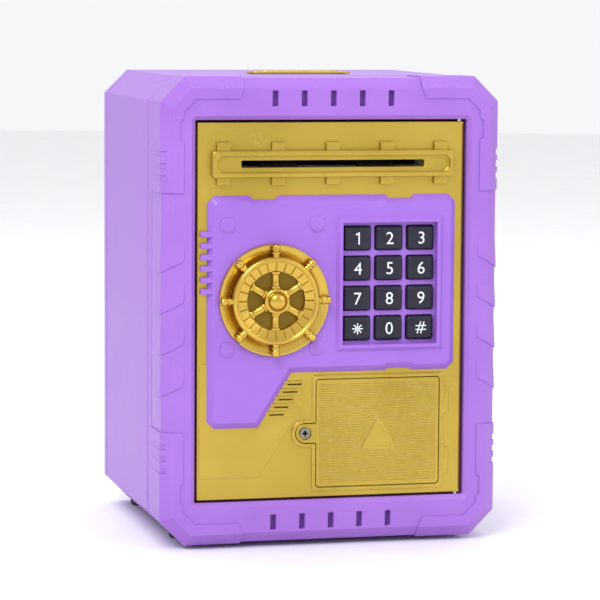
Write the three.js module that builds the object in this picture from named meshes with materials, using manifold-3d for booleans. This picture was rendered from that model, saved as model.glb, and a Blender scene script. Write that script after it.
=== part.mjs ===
// Toy safe coin bank: a moulded plastic case with a hinged gold door that carries a keypad,
// a ship's-wheel knob, a motor-driven banknote slot and a battery bay.
// Millimetres, +Z up, front faces -Y. Inside the assembly group the door's flat face is at y = 0,
// and inside the door group z is counted from the door's lower edge.
import * as THREE from "three";
import { mergeVertices } from "three/addons/utils/BufferGeometryUtils.js";
import Module from "manifold-3d";

const wasm = await Module();
wasm.setup();

// ---- Driving dimensions -------------------------------------------------------------------
const FIT = 0.3; // gap between pieces that would touch

// Case
const BODY_W = 152;
const BODY_BOTTOM = 2;
const BODY_TOP = 206;
const BODY_BACK = 136;
const BODY_CHAMFER = 11;
const WALL = 2.5;
const FRAME_FRONT = -2.5;
const FRAME_BEVEL = 5;
const FRAME_BACK = 22;
const FRAME_SLOT_PITCH = 13;
const FRAME_SLOT_INSET = 9; // from the frame's edge to a slot's centre
const LEAD_IN = 2.5;
const CASE_SCREW_X = 66;
const CASE_SCREW_INSET = 10;
const WELL_DEPTH = 6;
const FOOT_R = 7;
const FOOT_X = 58;
const FOOT_FRONT_Y = 34;
const FOOT_REAR_Y = 122;

// Door and its hinge
const DOOR_W = 120;
const DOOR_H = 164.5;
const DOOR_BOTTOM = 21.75;
const DOOR_GAP = 1;
const DOOR_DEPTH = 22;
const DOOR_SKIN = 2.2;
const DOOR_FLANGE = 2;
const DOOR_SCREW_X = 55.2;
const DOOR_SCREW_INSET = 7;
const BACK_COVER = 2;
const HINGE_X = 58;
const HINGE_Y = 2;
const PIN_R = 1;
const PIN_HOLE_R = 1.08;
const PIN_LENGTH = 14;

// Door panel and keypad
const PANEL_FRONT = -3;
const RIDGE_W = 2.9;
const RIDGE_FRONT = -4.5;
const KEYPAD_X = 25.5;
const KEYPAD_Z = 94;
const KEYPAD_W = 42.7;
const KEYPAD_H = 53.4;
const LATTICE_FRONT = -0.5;
const LATTICE_BACK = 1.1;
const LATTICE_EDGE = 0.6; // how far the lattice reaches under the ridge
const KEY_W = 11.9;
const KEY_H = 10.2;
const KEY_GAP = 0.3;
const KEY_PITCH_X = 14.36;
const KEY_PITCH_Z = 13.2;
const KEY_FRONT = -2.5;
const KEY_BACK = 2.8;
const KEY_NAMES = ["1", "2", "3", "4", "5", "6", "7", "8", "9", "star", "0", "hash"];

// Banknote slot and its rollers
const SLOT_Z = 146.5;
const SLOT_W = 82;
const SLOT_H = 3;
const SLOT_COVER_W = 108.6;
const SLOT_COVER_H = 11.7;
const SLOT_COVER_FRONT = -4.3;
const ROLLER_Y = 11;
const DRIVE_R = 5;
const IDLER_R = 4;
const DRIVE_SHAFT_R = 1.5;
const IDLER_SHAFT_R = 1.2;
const NIP = 0.2; // from the banknote's path to each roller
const BEARING_GAP = 0.08;
const CHEEK_X = 43;
const GEAR_MODULE = 0.6;
const GEAR_TEETH = 24;
const PINION_TEETH = 8;
const GEAR_LEFT = 46.2;
const GEAR_RIGHT = 49.2;

// Knob, bolt and solenoid
const KNOB_X = -26.7;
const KNOB_Z = 87.6;
const KNOB_FRONT = -12.6;
const WHEEL_R = 19;
const PEGS = 8;
const SPOKES = 6;
const SHAFT_R = 3;
const CAM_R = 8;
const CAM_FRONT = 9.5;
const CAM_BACK = 12.5;
const CRANK_R = 4.24; // gives the bolt 6 mm of travel in a quarter turn
const CRANK_PIN_R = 1.3;
const BOLT_H = 10;
const BOLT_FRONT = 13;
const BOLT_BACK = 16;
const BOLT_ROOM = 0.8; // free space in front of and behind the bolt in the frame and the keeper
const PLUNGER_R = 2;
const COIL_TOP = 76;
const COIL_BOTTOM = 60;

// Battery bay
const BAY_LEFT = -6.6;
const BAY_RIGHT = 49.4;
const BAY_BOTTOM = 4.4;
const BAY_TOP = 51.9;
const COVER_FRONT = -0.6;
const COVER_BACK = 1.2;
const LOBE_X = -11.5;
const LOBE_Z = 28.3;
const LOBE_R = 4.3;
const TRAY_FRONT = 2.5;
const TRAY_BACK = 19.4;
const CELL_R = 7.15;
const CELL_LEFT = -2.8;
const CELL_RIGHT = 46.7;
const CELL_Y = 10.4;
const CELL_PITCH = 15;

// Coin slot
const COIN_SLOT_L = 32;
const COIN_SLOT_W = 5;
const COIN_SLOT_Y = 62;

// Places worked out from the dimensions above
const OPEN_X = DOOR_W / 2 + DOOR_GAP;
const OPEN_BOTTOM = DOOR_BOTTOM - DOOR_GAP;
const OPEN_TOP = DOOR_BOTTOM + DOOR_H + DOOR_GAP;
const BOLT_Z = DOOR_BOTTOM + KNOB_Z;
const DRIVE_Z = SLOT_Z - NIP - DRIVE_R;
const IDLER_Z = SLOT_Z + NIP + IDLER_R;
const PINION_Z = DRIVE_Z - (GEAR_MODULE * (GEAR_TEETH + PINION_TEETH)) / 2 - 0.1;

// ---- Materials ----------------------------------------------------------------------------
function material(color, roughness, metalness) {
  return new THREE.MeshStandardMaterial({ color, roughness, metalness });
}

const purple = material(0x9a62dc, 0.42, 0);
const gold = material(0xb69a3c, 0.38, 0.55);
const brightGold = material(0xd2a435, 0.25, 0.75);
const keyBlack = material(0x23232f, 0.45, 0);
const steel = material(0xb9bcc0, 0.3, 0.9);
const rubber = material(0x2b2b2d, 0.8, 0);
const silicone = material(0xa9a9ad, 0.7, 0);
const boardGreen = material(0x1f6b3c, 0.5, 0);
const cellGrey = material(0x5a6270, 0.35, 0.2);
const copper = material(0xa8622c, 0.35, 0.6);
const white = material(0xe6e4dc, 0.5, 0);

// ---- Solids -------------------------------------------------------------------------------
// A closed geometry as a solid that can be joined and cut.
function solid(geometry) {
  const bare = new THREE.BufferGeometry();
  bare.setAttribute("position", geometry.getAttribute("position"));
  bare.setIndex(geometry.getIndex());
  const merged = mergeVertices(bare, 1e-4);
  return new wasm.Manifold(
    new wasm.Mesh({
      numProp: 3,
      vertProperties: new Float32Array(merged.getAttribute("position").array),
      triVerts: new Uint32Array(merged.getIndex().array),
    }),
  );
}

function geometryOf(made) {
  const mesh = made.getMesh();
  const geometry = new THREE.BufferGeometry();
  geometry.setAttribute("position", new THREE.BufferAttribute(mesh.vertProperties, 3));
  geometry.setIndex(new THREE.BufferAttribute(mesh.triVerts, 1));
  geometry.computeVertexNormals();
  return geometry;
}

function join(...solids) {
  return solids.reduce((whole, next) => whole.add(next));
}

function cut(base, ...tools) {
  return tools.reduce((rest, tool) => rest.subtract(tool), base);
}

function block(xMin, xMax, yMin, yMax, zMin, zMax) {
  const geometry = new THREE.BoxGeometry(xMax - xMin, yMax - yMin, zMax - zMin);
  geometry.translate((xMin + xMax) / 2, (yMin + yMax) / 2, (zMin + zMax) / 2);
  return solid(geometry);
}

// An outline in X and Z as a plate from front to back. A bevel slopes its front edge.
function slab(shape, front, back, bevel = 0) {
  const spare = bevel > 0 ? 1 : 0;
  const depth = back - front - bevel + spare;
  const geometry = new THREE.ExtrudeGeometry(shape, {
    depth,
    bevelEnabled: bevel > 0,
    bevelThickness: bevel,
    bevelSize: bevel,
    bevelOffset: -bevel,
    bevelSegments: 1,
    steps: 1,
    curveSegments: 4,
  });
  geometry.rotateX(Math.PI / 2);
  geometry.translate(0, front + depth + bevel, 0);
  const made = solid(geometry);
  return bevel > 0 ? cut(made, block(-100, 100, back, back + bevel + 2, -10, 220)) : made;
}

// A cylinder along an axis. u and v are its centre on the other two axes, in X, Y, Z order.
function rod(axis, radius, from, to, u, v, sides = 16) {
  const geometry = new THREE.CylinderGeometry(radius, radius, to - from, sides);
  geometry.translate(0, (from + to) / 2, 0);
  if (axis === "x") {
    geometry.rotateZ(-Math.PI / 2);
    geometry.translate(0, u, v);
  } else if (axis === "y") {
    geometry.translate(u, 0, v);
  } else {
    geometry.rotateX(Math.PI / 2);
    geometry.translate(u, v, 0);
  }
  return solid(geometry);
}

// A profile of [radius, y] points turned about the Y axis.
function turned(profile, sides = 36) {
  const points = profile.map(([radius, y]) => new THREE.Vector2(radius, y));
  return solid(new THREE.LatheGeometry(points, sides));
}

// The same solid, turned about one of the axes through the origin.
function rotated(made, axis, angle) {
  const geometry = geometryOf(made);
  geometry.applyMatrix4(new THREE.Matrix4().makeRotationAxis(axis, angle));
  return solid(geometry);
}

const Y_AXIS = new THREE.Vector3(0, 1, 0);
const Z_AXIS = new THREE.Vector3(0, 0, 1);

// ---- Outlines in X and Z --------------------------------------------------------------------
function outline(points) {
  return new THREE.Shape(points.map(([x, z]) => new THREE.Vector2(x, z)));
}

function chamfered(xMin, xMax, zMin, zMax, c) {
  return outline([
    [xMin + c, zMin],
    [xMax - c, zMin],
    [xMax, zMin + c],
    [xMax, zMax - c],
    [xMax - c, zMax],
    [xMin + c, zMax],
    [xMin, zMax - c],
    [xMin, zMin + c],
  ]);
}

function rounded(xMin, xMax, zMin, zMax, r) {
  const shape = new THREE.Shape();
  shape.absarc(xMax - r, zMin + r, r, -Math.PI / 2, 0);
  shape.absarc(xMax - r, zMax - r, r, 0, Math.PI / 2);
  shape.absarc(xMin + r, zMax - r, r, Math.PI / 2, Math.PI);
  shape.absarc(xMin + r, zMin + r, r, Math.PI, 1.5 * Math.PI);
  return shape;
}

// The case's outline, moved inwards by inset all round.
function bodyOutline(inset) {
  const half = BODY_W / 2 - inset;
  const corner = BODY_CHAMFER - (2 - Math.SQRT2) * inset;
  return chamfered(-half, half, BODY_BOTTOM + inset, BODY_TOP - inset, corner);
}

// The doorway, moved outwards by grow all round.
function doorway(grow) {
  const corner = 0.5 + (2 - Math.SQRT2) * grow;
  return chamfered(-OPEN_X - grow, OPEN_X + grow, OPEN_BOTTOM - grow, OPEN_TOP + grow, corner);
}

// The door panel: a wide upper part, a leg at the lower left, and shallow notches in its edges.
function panelOutline() {
  const edge = 55.8;
  const top = 132.8;
  const bottom = 55.3;
  const legBottom = 31.4;
  const c = 3.2;
  const notch = 0.9;
  return outline([
    [-edge + c, legBottom],
    [-32.8, legBottom],
    [-17.9, bottom],
    [24.5, bottom],
    [25.5, bottom + notch],
    [35.5, bottom + notch],
    [36.5, bottom],
    [edge - c, bottom],
    [edge, bottom + c],
    [edge, top - c],
    [edge - c, top],
    [36.5, top],
    [35.5, top - notch],
    [25.5, top - notch],
    [24.5, top],
    [-24.5, top],
    [-25.5, top - notch],
    [-35.5, top - notch],
    [-36.5, top],
    [-edge + c, top],
    [-edge, top - c],
    [-edge, legBottom + c],
  ]);
}

// A gear's outline with straight-sided teeth, thinned a little so that it runs clear.
function gearOutline(teeth, phase) {
  const pitchR = (GEAR_MODULE * teeth) / 2;
  const root = pitchR - 1.2 * GEAR_MODULE;
  const tip = pitchR + 0.85 * GEAR_MODULE;
  const step = (2 * Math.PI) / teeth;
  const points = [];
  for (let i = 0; i < teeth; i++) {
    for (const [r, share] of [[root, -0.3], [tip, -0.1], [tip, 0.1], [root, 0.3]]) {
      const angle = phase + (i + share) * step;
      points.push([r * Math.cos(angle), r * Math.sin(angle)]);
    }
  }
  return outline(points);
}

// ---- Assembly -------------------------------------------------------------------------------
const root = new THREE.Group();
const assembly = new THREE.Group();
assembly.position.y = -(KNOB_FRONT + BODY_BACK) / 2;
root.add(assembly);
const door = new THREE.Group();
door.position.z = DOOR_BOTTOM;
assembly.add(door);
const knob = new THREE.Group();
knob.position.set(KNOB_X, 0, KNOB_Z);
door.add(knob);

function place(group, name, made, finish, x = 0, y = 0, z = 0) {
  const mesh = new THREE.Mesh(geometryOf(made), finish);
  mesh.name = name;
  mesh.position.set(x, y, z);
  group.add(mesh);
}

// A cross-head screw that points backwards, with the underside of its head at y = 0.8.
function screw(headR, shankR, length) {
  const arm = headR * 0.55;
  const body = turned(
    [
      [0, -0.4],
      [headR * 0.7, -0.4],
      [headR, 0.2],
      [headR, 0.8],
      [shankR, 0.8],
      [shankR, length - 1],
      [0, length],
    ],
    12,
  );
  return cut(
    body,
    block(-arm, arm, -1, 0.3, -0.3, 0.3),
    block(-0.3, 0.3, -1, 0.3, -arm, arm),
  );
}

function forwardScrew(headR, shankR, length) {
  return rotated(screw(headR, shankR, length), Z_AXIS, Math.PI);
}

// ---- Case -----------------------------------------------------------------------------------
// The doorway's sloping edge: wide at the frame's front, narrowing to the doorway behind it.
function leadIn() {
  const geometry = new THREE.ExtrudeGeometry(doorway(LEAD_IN), {
    depth: 1,
    bevelEnabled: true,
    bevelThickness: LEAD_IN,
    bevelSize: LEAD_IN,
    bevelOffset: -LEAD_IN,
    bevelSegments: 1,
    steps: 1,
  });
  geometry.rotateX(Math.PI / 2);
  geometry.translate(0, FRAME_FRONT, 0);
  return solid(geometry);
}

// The moulded front frame: bevelled edges, a sleeve round the doorway with a hole for the bolt, two
// bosses for the hinge pins, and five short blind slots above and below the door.
function frontFrame() {
  const shoulder = FRAME_FRONT + FRAME_BEVEL + 1.5;
  const hollow = cut(
    join(
      slab(bodyOutline(WALL), shoulder, FRAME_BACK + 1),
      slab(bodyOutline(WALL + FRAME_BEVEL), FRAME_FRONT + WALL, shoulder + 1),
    ),
    slab(doorway(WALL), FRAME_FRONT - 1, FRAME_BACK + 2),
  );
  const slots = [];
  for (let i = -2; i <= 2; i++) {
    const x = i * FRAME_SLOT_PITCH;
    for (const z of [BODY_TOP - FRAME_SLOT_INSET, BODY_BOTTOM + FRAME_SLOT_INSET]) {
      slots.push(block(x - 1.3, x + 1.3, FRAME_FRONT - 1, FRAME_FRONT + 1.5, z - 3.6, z + 3.6));
    }
  }
  const shell = cut(
    slab(bodyOutline(0), FRAME_FRONT, FRAME_BACK, FRAME_BEVEL),
    hollow,
    slab(doorway(0), FRAME_FRONT - 1, FRAME_BACK + 1),
    leadIn(),
    ...slots,
  );
  const bossY = HINGE_Y + 1.2;
  const boltHalf = BOLT_H / 2 + 0.5;
  return cut(
    join(
      shell,
      rod("z", 3, OPEN_TOP + 0.5, OPEN_TOP + 6, HINGE_X, bossY),
      rod("z", 3, OPEN_BOTTOM - 6, OPEN_BOTTOM - 0.5, HINGE_X, bossY),
    ),
    block(
      -OPEN_X - 4,
      -OPEN_X + 1,
      BOLT_FRONT - BOLT_ROOM,
      BOLT_BACK + BOLT_ROOM,
      BOLT_Z - boltHalf,
      BOLT_Z + boltHalf,
    ),
    rod("z", PIN_HOLE_R, OPEN_TOP - 1, OPEN_TOP + 5, HINGE_X, HINGE_Y, 12),
    rod("z", PIN_HOLE_R, OPEN_BOTTOM - 5, OPEN_BOTTOM + 1, HINGE_X, HINGE_Y, 12),
  );
}

function caseScrewPlaces() {
  const places = [];
  for (const x of [-CASE_SCREW_X, CASE_SCREW_X]) {
    for (const z of [BODY_BOTTOM + CASE_SCREW_INSET, BODY_TOP - CASE_SCREW_INSET]) {
      places.push([x, z]);
    }
  }
  return places;
}

// The rear case: a box open at the front, with screw bosses in its corners and an opening in its
// top for the coin slot's bezel.
function rearCase() {
  const front = FRAME_BACK + FIT;
  const shell = cut(
    slab(bodyOutline(0.5), front, BODY_BACK),
    slab(bodyOutline(0.5 + WALL), front - 1, BODY_BACK - WALL),
  );
  const bosses = [];
  const wells = [];
  for (const [x, z] of caseScrewPlaces()) {
    bosses.push(rod("y", 4, front + 2, BODY_BACK - 1, x, z, 12));
    wells.push(rod("y", 2.9, BODY_BACK - WELL_DEPTH, BODY_BACK + 1, x, z, 12));
    wells.push(rod("y", 1.5, front, BODY_BACK - 1, x, z, 10));
  }
  const halfL = COIN_SLOT_L / 2 + 5;
  const halfW = COIN_SLOT_W / 2 + 3;
  const bezelHole = block(
    -halfL,
    halfL,
    COIN_SLOT_Y - halfW,
    COIN_SLOT_Y + halfW,
    BODY_TOP - 5,
    BODY_TOP + 1,
  );
  return cut(join(shell, ...bosses), bezelHole, ...wells);
}

// The coin slot's bezel: a stepped plate with a collar that reaches down through the case.
function coinSlotBezel() {
  const halfL = COIN_SLOT_L / 2;
  const halfW = COIN_SLOT_W / 2;
  const y = COIN_SLOT_Y;
  const rim = BODY_TOP - 0.5 + FIT;
  return cut(
    join(
      block(-halfL - 7, halfL + 7, y - halfW - 5, y + halfW + 5, rim, BODY_TOP + 1),
      block(-halfL - 4.7, halfL + 4.7, y - halfW - 2.7, y + halfW + 2.7, BODY_TOP - 8, rim),
    ),
    block(-halfL, halfL, y - halfW, y + halfW, BODY_TOP - 10, BODY_TOP + 3),
  );
}

// The keeper: a cup on the outer side of the doorway's sleeve that the bolt slides into.
function latchKeeper() {
  const inner = -OPEN_X - WALL - FIT;
  const h = BOLT_H / 2;
  return cut(
    block(inner - 8.2, inner, BOLT_FRONT - 3, BOLT_BACK + 3, BOLT_Z - h - 3, BOLT_Z + h + 3),
    block(
      inner - 6.5,
      inner + 1,
      BOLT_FRONT - BOLT_ROOM,
      BOLT_BACK + BOLT_ROOM,
      BOLT_Z - h - 0.5,
      BOLT_Z + h + 0.5,
    ),
  );
}

// The strip behind the doorway's free side that the closing door comes to rest against.
function doorStop() {
  const front = FRAME_BACK + FIT;
  return block(-OPEN_X - 7, -OPEN_X + 2.5, front, front + 1.7, OPEN_BOTTOM + 8, OPEN_TOP - 8);
}

place(assembly, "front_frame", frontFrame(), purple);
place(assembly, "door_stop", doorStop(), purple);
place(assembly, "rear_case", rearCase(), purple);
place(assembly, "coin_slot_bezel", coinSlotBezel(), gold);
place(assembly, "latch_keeper", latchKeeper(), steel);

for (const [side, x] of [["left", -FOOT_X], ["right", FOOT_X]]) {
  for (const [end, y] of [["front", FOOT_FRONT_Y], ["rear", FOOT_REAR_Y]]) {
    const foot = rod("z", FOOT_R, 0, BODY_BOTTOM + 0.5 - FIT, x, y, 20);
    place(assembly, `foot_${end}_${side}`, foot, rubber);
  }
}

for (const [x, z] of caseScrewPlaces()) {
  const name = `case_screw_${z > BODY_TOP / 2 ? "upper" : "lower"}_${x < 0 ? "left" : "right"}`;
  place(assembly, name, forwardScrew(2.6, 1.2, 20), steel, x, BODY_BACK - WELL_DEPTH + 0.9, z);
}

const upperPin = OPEN_TOP + 4.5;
const lowerPin = OPEN_BOTTOM - 4.5;
place(
  assembly,
  "hinge_pin_upper",
  rod("z", PIN_R, upperPin - PIN_LENGTH, upperPin, HINGE_X, HINGE_Y, 12),
  steel,
);
place(
  assembly,
  "hinge_pin_lower",
  rod("z", PIN_R, lowerPin, lowerPin + PIN_LENGTH, HINGE_X, HINGE_Y, 12),
  steel,
);

// ---- Door shell and its back cover ------------------------------------------------------------
// The battery bay's outline through the skin, with the screw's lobe at its left.
function bayPlate(grow, front, back) {
  const bay = rounded(BAY_LEFT - grow, BAY_RIGHT + grow, BAY_BOTTOM - grow, BAY_TOP + grow, 1.5);
  const r = LOBE_R + grow;
  return join(
    slab(bay, front, back),
    rod("y", r, front, back, LOBE_X, LOBE_Z, 20),
    block(LOBE_X, BAY_LEFT + 1, front, back, LOBE_Z - r, LOBE_Z + r),
  );
}

// A slanting stack of speaker vents beside the panel's leg.
function vents() {
  const cuts = [];
  for (let i = 0; i < 5; i++) {
    const right = -12.6 - 2 * i;
    const z = 50.1 - 3.3 * i;
    cuts.push(block(right - 7, right, -1, DOOR_SKIN + 1, z - 0.6, z + 0.6));
  }
  return cuts;
}

function doorScrewPlaces() {
  const places = [];
  for (const x of [-DOOR_SCREW_X, DOOR_SCREW_X]) {
    for (const z of [DOOR_SCREW_INSET, DOOR_H - DOOR_SCREW_INSET]) {
      places.push([x, z]);
    }
  }
  return places;
}

function doorShell() {
  const half = DOOR_W / 2;
  const inner = half - DOOR_FLANGE;
  const barrelR = half - HINGE_X;
  const through = DOOR_SKIN + 1;
  const tray = cut(
    block(-half, half, 0, DOOR_DEPTH, 0, DOOR_H),
    block(-inner, inner, DOOR_SKIN, DOOR_DEPTH + 1, DOOR_FLANGE, DOOR_H - DOOR_FLANGE),
  );
  // The hinge side's front edge is round about the pivot, so that it turns clear of the frame.
  const sharpEdge = cut(
    block(HINGE_X, half + 1, -1, HINGE_Y, -1, DOOR_H + 1),
    rod("z", barrelR, -2, DOOR_H + 2, HINGE_X, HINGE_Y, 24),
  );
  const posts = doorScrewPlaces().map(([x, z]) =>
    rod("y", 2.6, 1, DOOR_DEPTH - BACK_COVER - FIT, x, z, 12),
  );
  const postHoles = doorScrewPlaces().map(([x, z]) => rod("y", 1.1, 6, DOOR_DEPTH, x, z, 10));
  const boltHalf = BOLT_H / 2 + 0.4;
  const reach = LATTICE_EDGE + FIT;
  return cut(
    join(
      cut(tray, sharpEdge),
      ...posts,
      rod("z", barrelR, 0.5, 12, HINGE_X, HINGE_Y, 24),
      rod("z", barrelR, DOOR_H - 12, DOOR_H - 0.5, HINGE_X, HINGE_Y, 24),
    ),
    ...postHoles,
    rod("z", PIN_HOLE_R, -1, 11, HINGE_X, HINGE_Y, 12),
    rod("z", PIN_HOLE_R, DOOR_H - 11, DOOR_H + 1, HINGE_X, HINGE_Y, 12),
    block(
      -half - 1,
      -inner + 1,
      BOLT_FRONT - 0.4,
      BOLT_BACK + 0.4,
      KNOB_Z - boltHalf,
      KNOB_Z + boltHalf,
    ),
    block(-SLOT_W / 2, SLOT_W / 2, -1, through, SLOT_Z - 2, SLOT_Z + 2),
    block(
      KEYPAD_X - KEYPAD_W / 2 - reach,
      KEYPAD_X + KEYPAD_W / 2 + reach,
      -1,
      through,
      KEYPAD_Z - KEYPAD_H / 2 - reach,
      KEYPAD_Z + KEYPAD_H / 2 + reach,
    ),
    rod("y", SHAFT_R + 0.4, -1, through, KNOB_X, KNOB_Z),
    bayPlate(FIT, -1, through),
    ...vents(),
  );
}

// The plate that closes the back of the door, with the banknotes' way out near its top.
function doorBackCover() {
  const x = DOOR_W / 2 - DOOR_FLANGE - FIT;
  const z = DOOR_FLANGE + FIT;
  const front = DOOR_DEPTH - BACK_COVER;
  const holes = [];
  for (const [hx, hz] of doorScrewPlaces()) {
    holes.push(rod("y", 1.4, front - 1, DOOR_DEPTH + 1, hx, hz, 10));
    holes.push(rod("y", 2.6, DOOR_DEPTH - 1, DOOR_DEPTH + 1, hx, hz, 12));
  }
  return cut(
    block(-x, x, front, DOOR_DEPTH, z, DOOR_H - z),
    block(-43, 43, front - 1, DOOR_DEPTH + 1, SLOT_Z - 5.5, SLOT_Z + 5.5),
    ...holes,
  );
}

// ---- Door panel and keypad --------------------------------------------------------------------
function keyPlaces() {
  return KEY_NAMES.map((name, i) => {
    const column = (i % 3) - 1;
    const row = 1.5 - Math.floor(i / 3);
    return [name, KEYPAD_X + column * KEY_PITCH_X, KEYPAD_Z + row * KEY_PITCH_Z];
  });
}

function keypadBlock(grow, front, back) {
  return block(
    KEYPAD_X - KEYPAD_W / 2 - grow,
    KEYPAD_X + KEYPAD_W / 2 + grow,
    front,
    back,
    KEYPAD_Z - KEYPAD_H / 2 - grow,
    KEYPAD_Z + KEYPAD_H / 2 + grow,
  );
}

// The purple panel: a bevelled plate with side ribs, four low bosses, and a ridge round the sunken
// lattice that the keys come through.
function doorPanel() {
  const w = KEYPAD_W / 2 + RIDGE_W;
  const h = KEYPAD_H / 2 + RIDGE_W;
  const ridge = chamfered(KEYPAD_X - w, KEYPAD_X + w, KEYPAD_Z - h, KEYPAD_Z + h, 1.2);
  const raised = [slab(ridge, RIDGE_FRONT, -FIT, PANEL_FRONT - RIDGE_FRONT)];
  for (let i = 0; i < 6; i++) {
    const top = 117.5 - 4.95 * i;
    raised.push(block(-59, -52.5, -2.3, -FIT, top - 2.4, top));
  }
  for (const x of [-47.3, -7.4]) {
    for (const z of [66.4, 120.3]) {
      raised.push(rod("y", 3.2, PANEL_FRONT - 0.5, PANEL_FRONT + 1, x, z));
    }
  }
  const plate = cut(
    join(slab(panelOutline(), PANEL_FRONT, -FIT, -PANEL_FRONT - FIT), ...raised),
    keypadBlock(0, RIDGE_FRONT - 1, 1),
    rod("y", SHAFT_R + 0.4, PANEL_FRONT - 1, 1, KNOB_X, KNOB_Z),
  );
  const holes = keyPlaces().map(([, x, z]) => {
    const halfW = KEY_W / 2 + KEY_GAP;
    const halfH = KEY_H / 2 + KEY_GAP;
    return block(x - halfW, x + halfW, -2, 3, z - halfH, z + halfH);
  });
  return cut(join(plate, keypadBlock(LATTICE_EDGE, LATTICE_FRONT, LATTICE_BACK)), ...holes);
}

// A key: a block with bevelled edges and a retaining flange behind the lattice.
function key() {
  const face = chamfered(-KEY_W / 2, KEY_W / 2, -KEY_H / 2, KEY_H / 2, 1);
  const w = KEY_W / 2 + 0.6;
  const h = KEY_H / 2 + 0.6;
  return join(
    slab(face, KEY_FRONT, KEY_BACK, 0.7),
    block(-w, w, LATTICE_BACK + 0.5, KEY_BACK, -h, h),
  );
}

function circuitBoard() {
  const front = 5.4;
  const back = 7;
  return join(
    block(2, 50, front, back, 64, 122.5),
    block(8, 20, back - 0.5, back + 1.4, 70, 82),
    block(28, 36, back - 0.5, back + 2.2, 100, 106),
    rod("y", 2.5, back - 0.5, back + 8, 42, 72, 12),
    block(6, 12, back - 0.5, back + 5, 112, 119),
  );
}

// ---- Banknote slot ----------------------------------------------------------------------------
// The raised cover: a long bar with a shallow pocket round the slot and five clips above and below.
function slotCover() {
  const w = SLOT_COVER_W / 2;
  const h = SLOT_COVER_H / 2;
  const bar = slab(rounded(-w, w, SLOT_Z - h, SLOT_Z + h, 1.5), SLOT_COVER_FRONT, -FIT, 0.7);
  const clips = [];
  for (let i = -2; i <= 2; i++) {
    const x = i * 24.4;
    clips.push(block(x - 3.05, x + 3.05, -2, -FIT, SLOT_Z - 9.2, SLOT_Z + 9.4));
  }
  const pocket = chamfered(-52.3, 52.3, SLOT_Z - 3.65, SLOT_Z + 3.65, 1.8);
  return cut(
    join(bar, ...clips),
    slab(pocket, SLOT_COVER_FRONT - 1, -2.2),
    block(-SLOT_W / 2, SLOT_W / 2, -3, 1, SLOT_Z - SLOT_H / 2, SLOT_Z + SLOT_H / 2),
  );
}

// The guide behind the slot: two cheeks that carry the rollers' shafts, joined by a plate below
// and a plate above the banknote's path, with windows for the rollers.
function noteGuide() {
  const front = 4;
  const back = 18.5;
  const lower = block(-CHEEK_X - 1, CHEEK_X + 1, front, back, SLOT_Z - 2.9, SLOT_Z - 1.7);
  const upper = block(-CHEEK_X - 1, CHEEK_X + 1, front, back, SLOT_Z + 1.7, SLOT_Z + 2.7);
  const cheeks = [];
  const windows = [];
  for (const side of [-1, 1]) {
    const x = side * (CHEEK_X + 1);
    cheeks.push(block(x - 1, x + 1, front, back, SLOT_Z - 12, SLOT_Z + 10));
    const wheelX = side * 22;
    windows.push(
      block(wheelX - 8.6, wheelX + 8.6, ROLLER_Y - 5, ROLLER_Y + 5, SLOT_Z - 4, SLOT_Z + 4),
    );
  }
  return cut(
    join(lower, upper, ...cheeks),
    ...windows,
    rod("x", DRIVE_SHAFT_R + BEARING_GAP, -60, 60, ROLLER_Y, DRIVE_Z),
    rod("x", IDLER_SHAFT_R + BEARING_GAP, -60, 60, ROLLER_Y, IDLER_Z),
  );
}

function roller(wheelR, shaftR, left, right) {
  return join(
    rod("x", shaftR, left, right, 0, 0),
    rod("x", wheelR, -30, -14, 0, 0, 20),
    rod("x", wheelR, 14, 30, 0, 0, 20),
  );
}

function gear(teeth, phase) {
  const flat = slab(gearOutline(teeth, phase), GEAR_LEFT, GEAR_RIGHT);
  return rotated(flat, Z_AXIS, -Math.PI / 2);
}

// ---- Knob, bolt and solenoid --------------------------------------------------------------------
// The fixed dished ring that the wheel turns in front of.
function knobFlange() {
  const hole = SHAFT_R + 0.4;
  const back = PANEL_FRONT - FIT;
  return turned([
    [hole, back - 0.6],
    [18.5, back - 0.6],
    [23.3, back - 1.6],
    [23.9, back - 1.6],
    [24.4, back - 1.1],
    [24.4, back],
    [hole, back],
    [hole, back - 0.6],
  ]);
}

// The ship's wheel: a beaded rim, a sloping ring, column spokes, a domed hub and eight pegs.
function knobWheel() {
  const disc = turned([
    [0, KNOB_FRONT],
    [2.6, KNOB_FRONT + 0.4],
    [4, KNOB_FRONT + 1.6],
    [4.2, -10.2],
    [5, -10.2],
    [5.6, -9.5],
    [5.6, -6.4],
    [12.3, -6.4],
    [12.3, -7.6],
    [16.8, -8.6],
    [17.4, -9.2],
    [18.4, -9.2],
    [WHEEL_R, -8.4],
    [WHEEL_R, -6],
    [18.2, -5.2],
    [0, -5.2],
  ]);
  const limbs = [];
  for (let i = 0; i < SPOKES; i++) {
    const spoke = join(
      block(-1.3, 1.3, -8.2, -6, 5, 12.8),
      block(-1.9, 1.9, -8.4, -6, 11.2, 12.5),
      block(-1.9, 1.9, -8.4, -6, 5.2, 6.6),
    );
    limbs.push(rotated(spoke, Y_AXIS, (i * 2 * Math.PI) / SPOKES));
  }
  for (let i = 0; i < PEGS; i++) {
    const peg = join(
      rod("z", 1.3, 18, 22, 0, -7.2, 10),
      rod("z", 1.75, 19.8, 23.4, 0, -7.2, 10),
    );
    limbs.push(rotated(peg, Y_AXIS, (i * 2 * Math.PI) / PEGS));
  }
  const socket = rod("y", SHAFT_R + 0.1, -9, -5, 0, 0);
  return cut(join(disc, ...limbs), socket);
}

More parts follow.
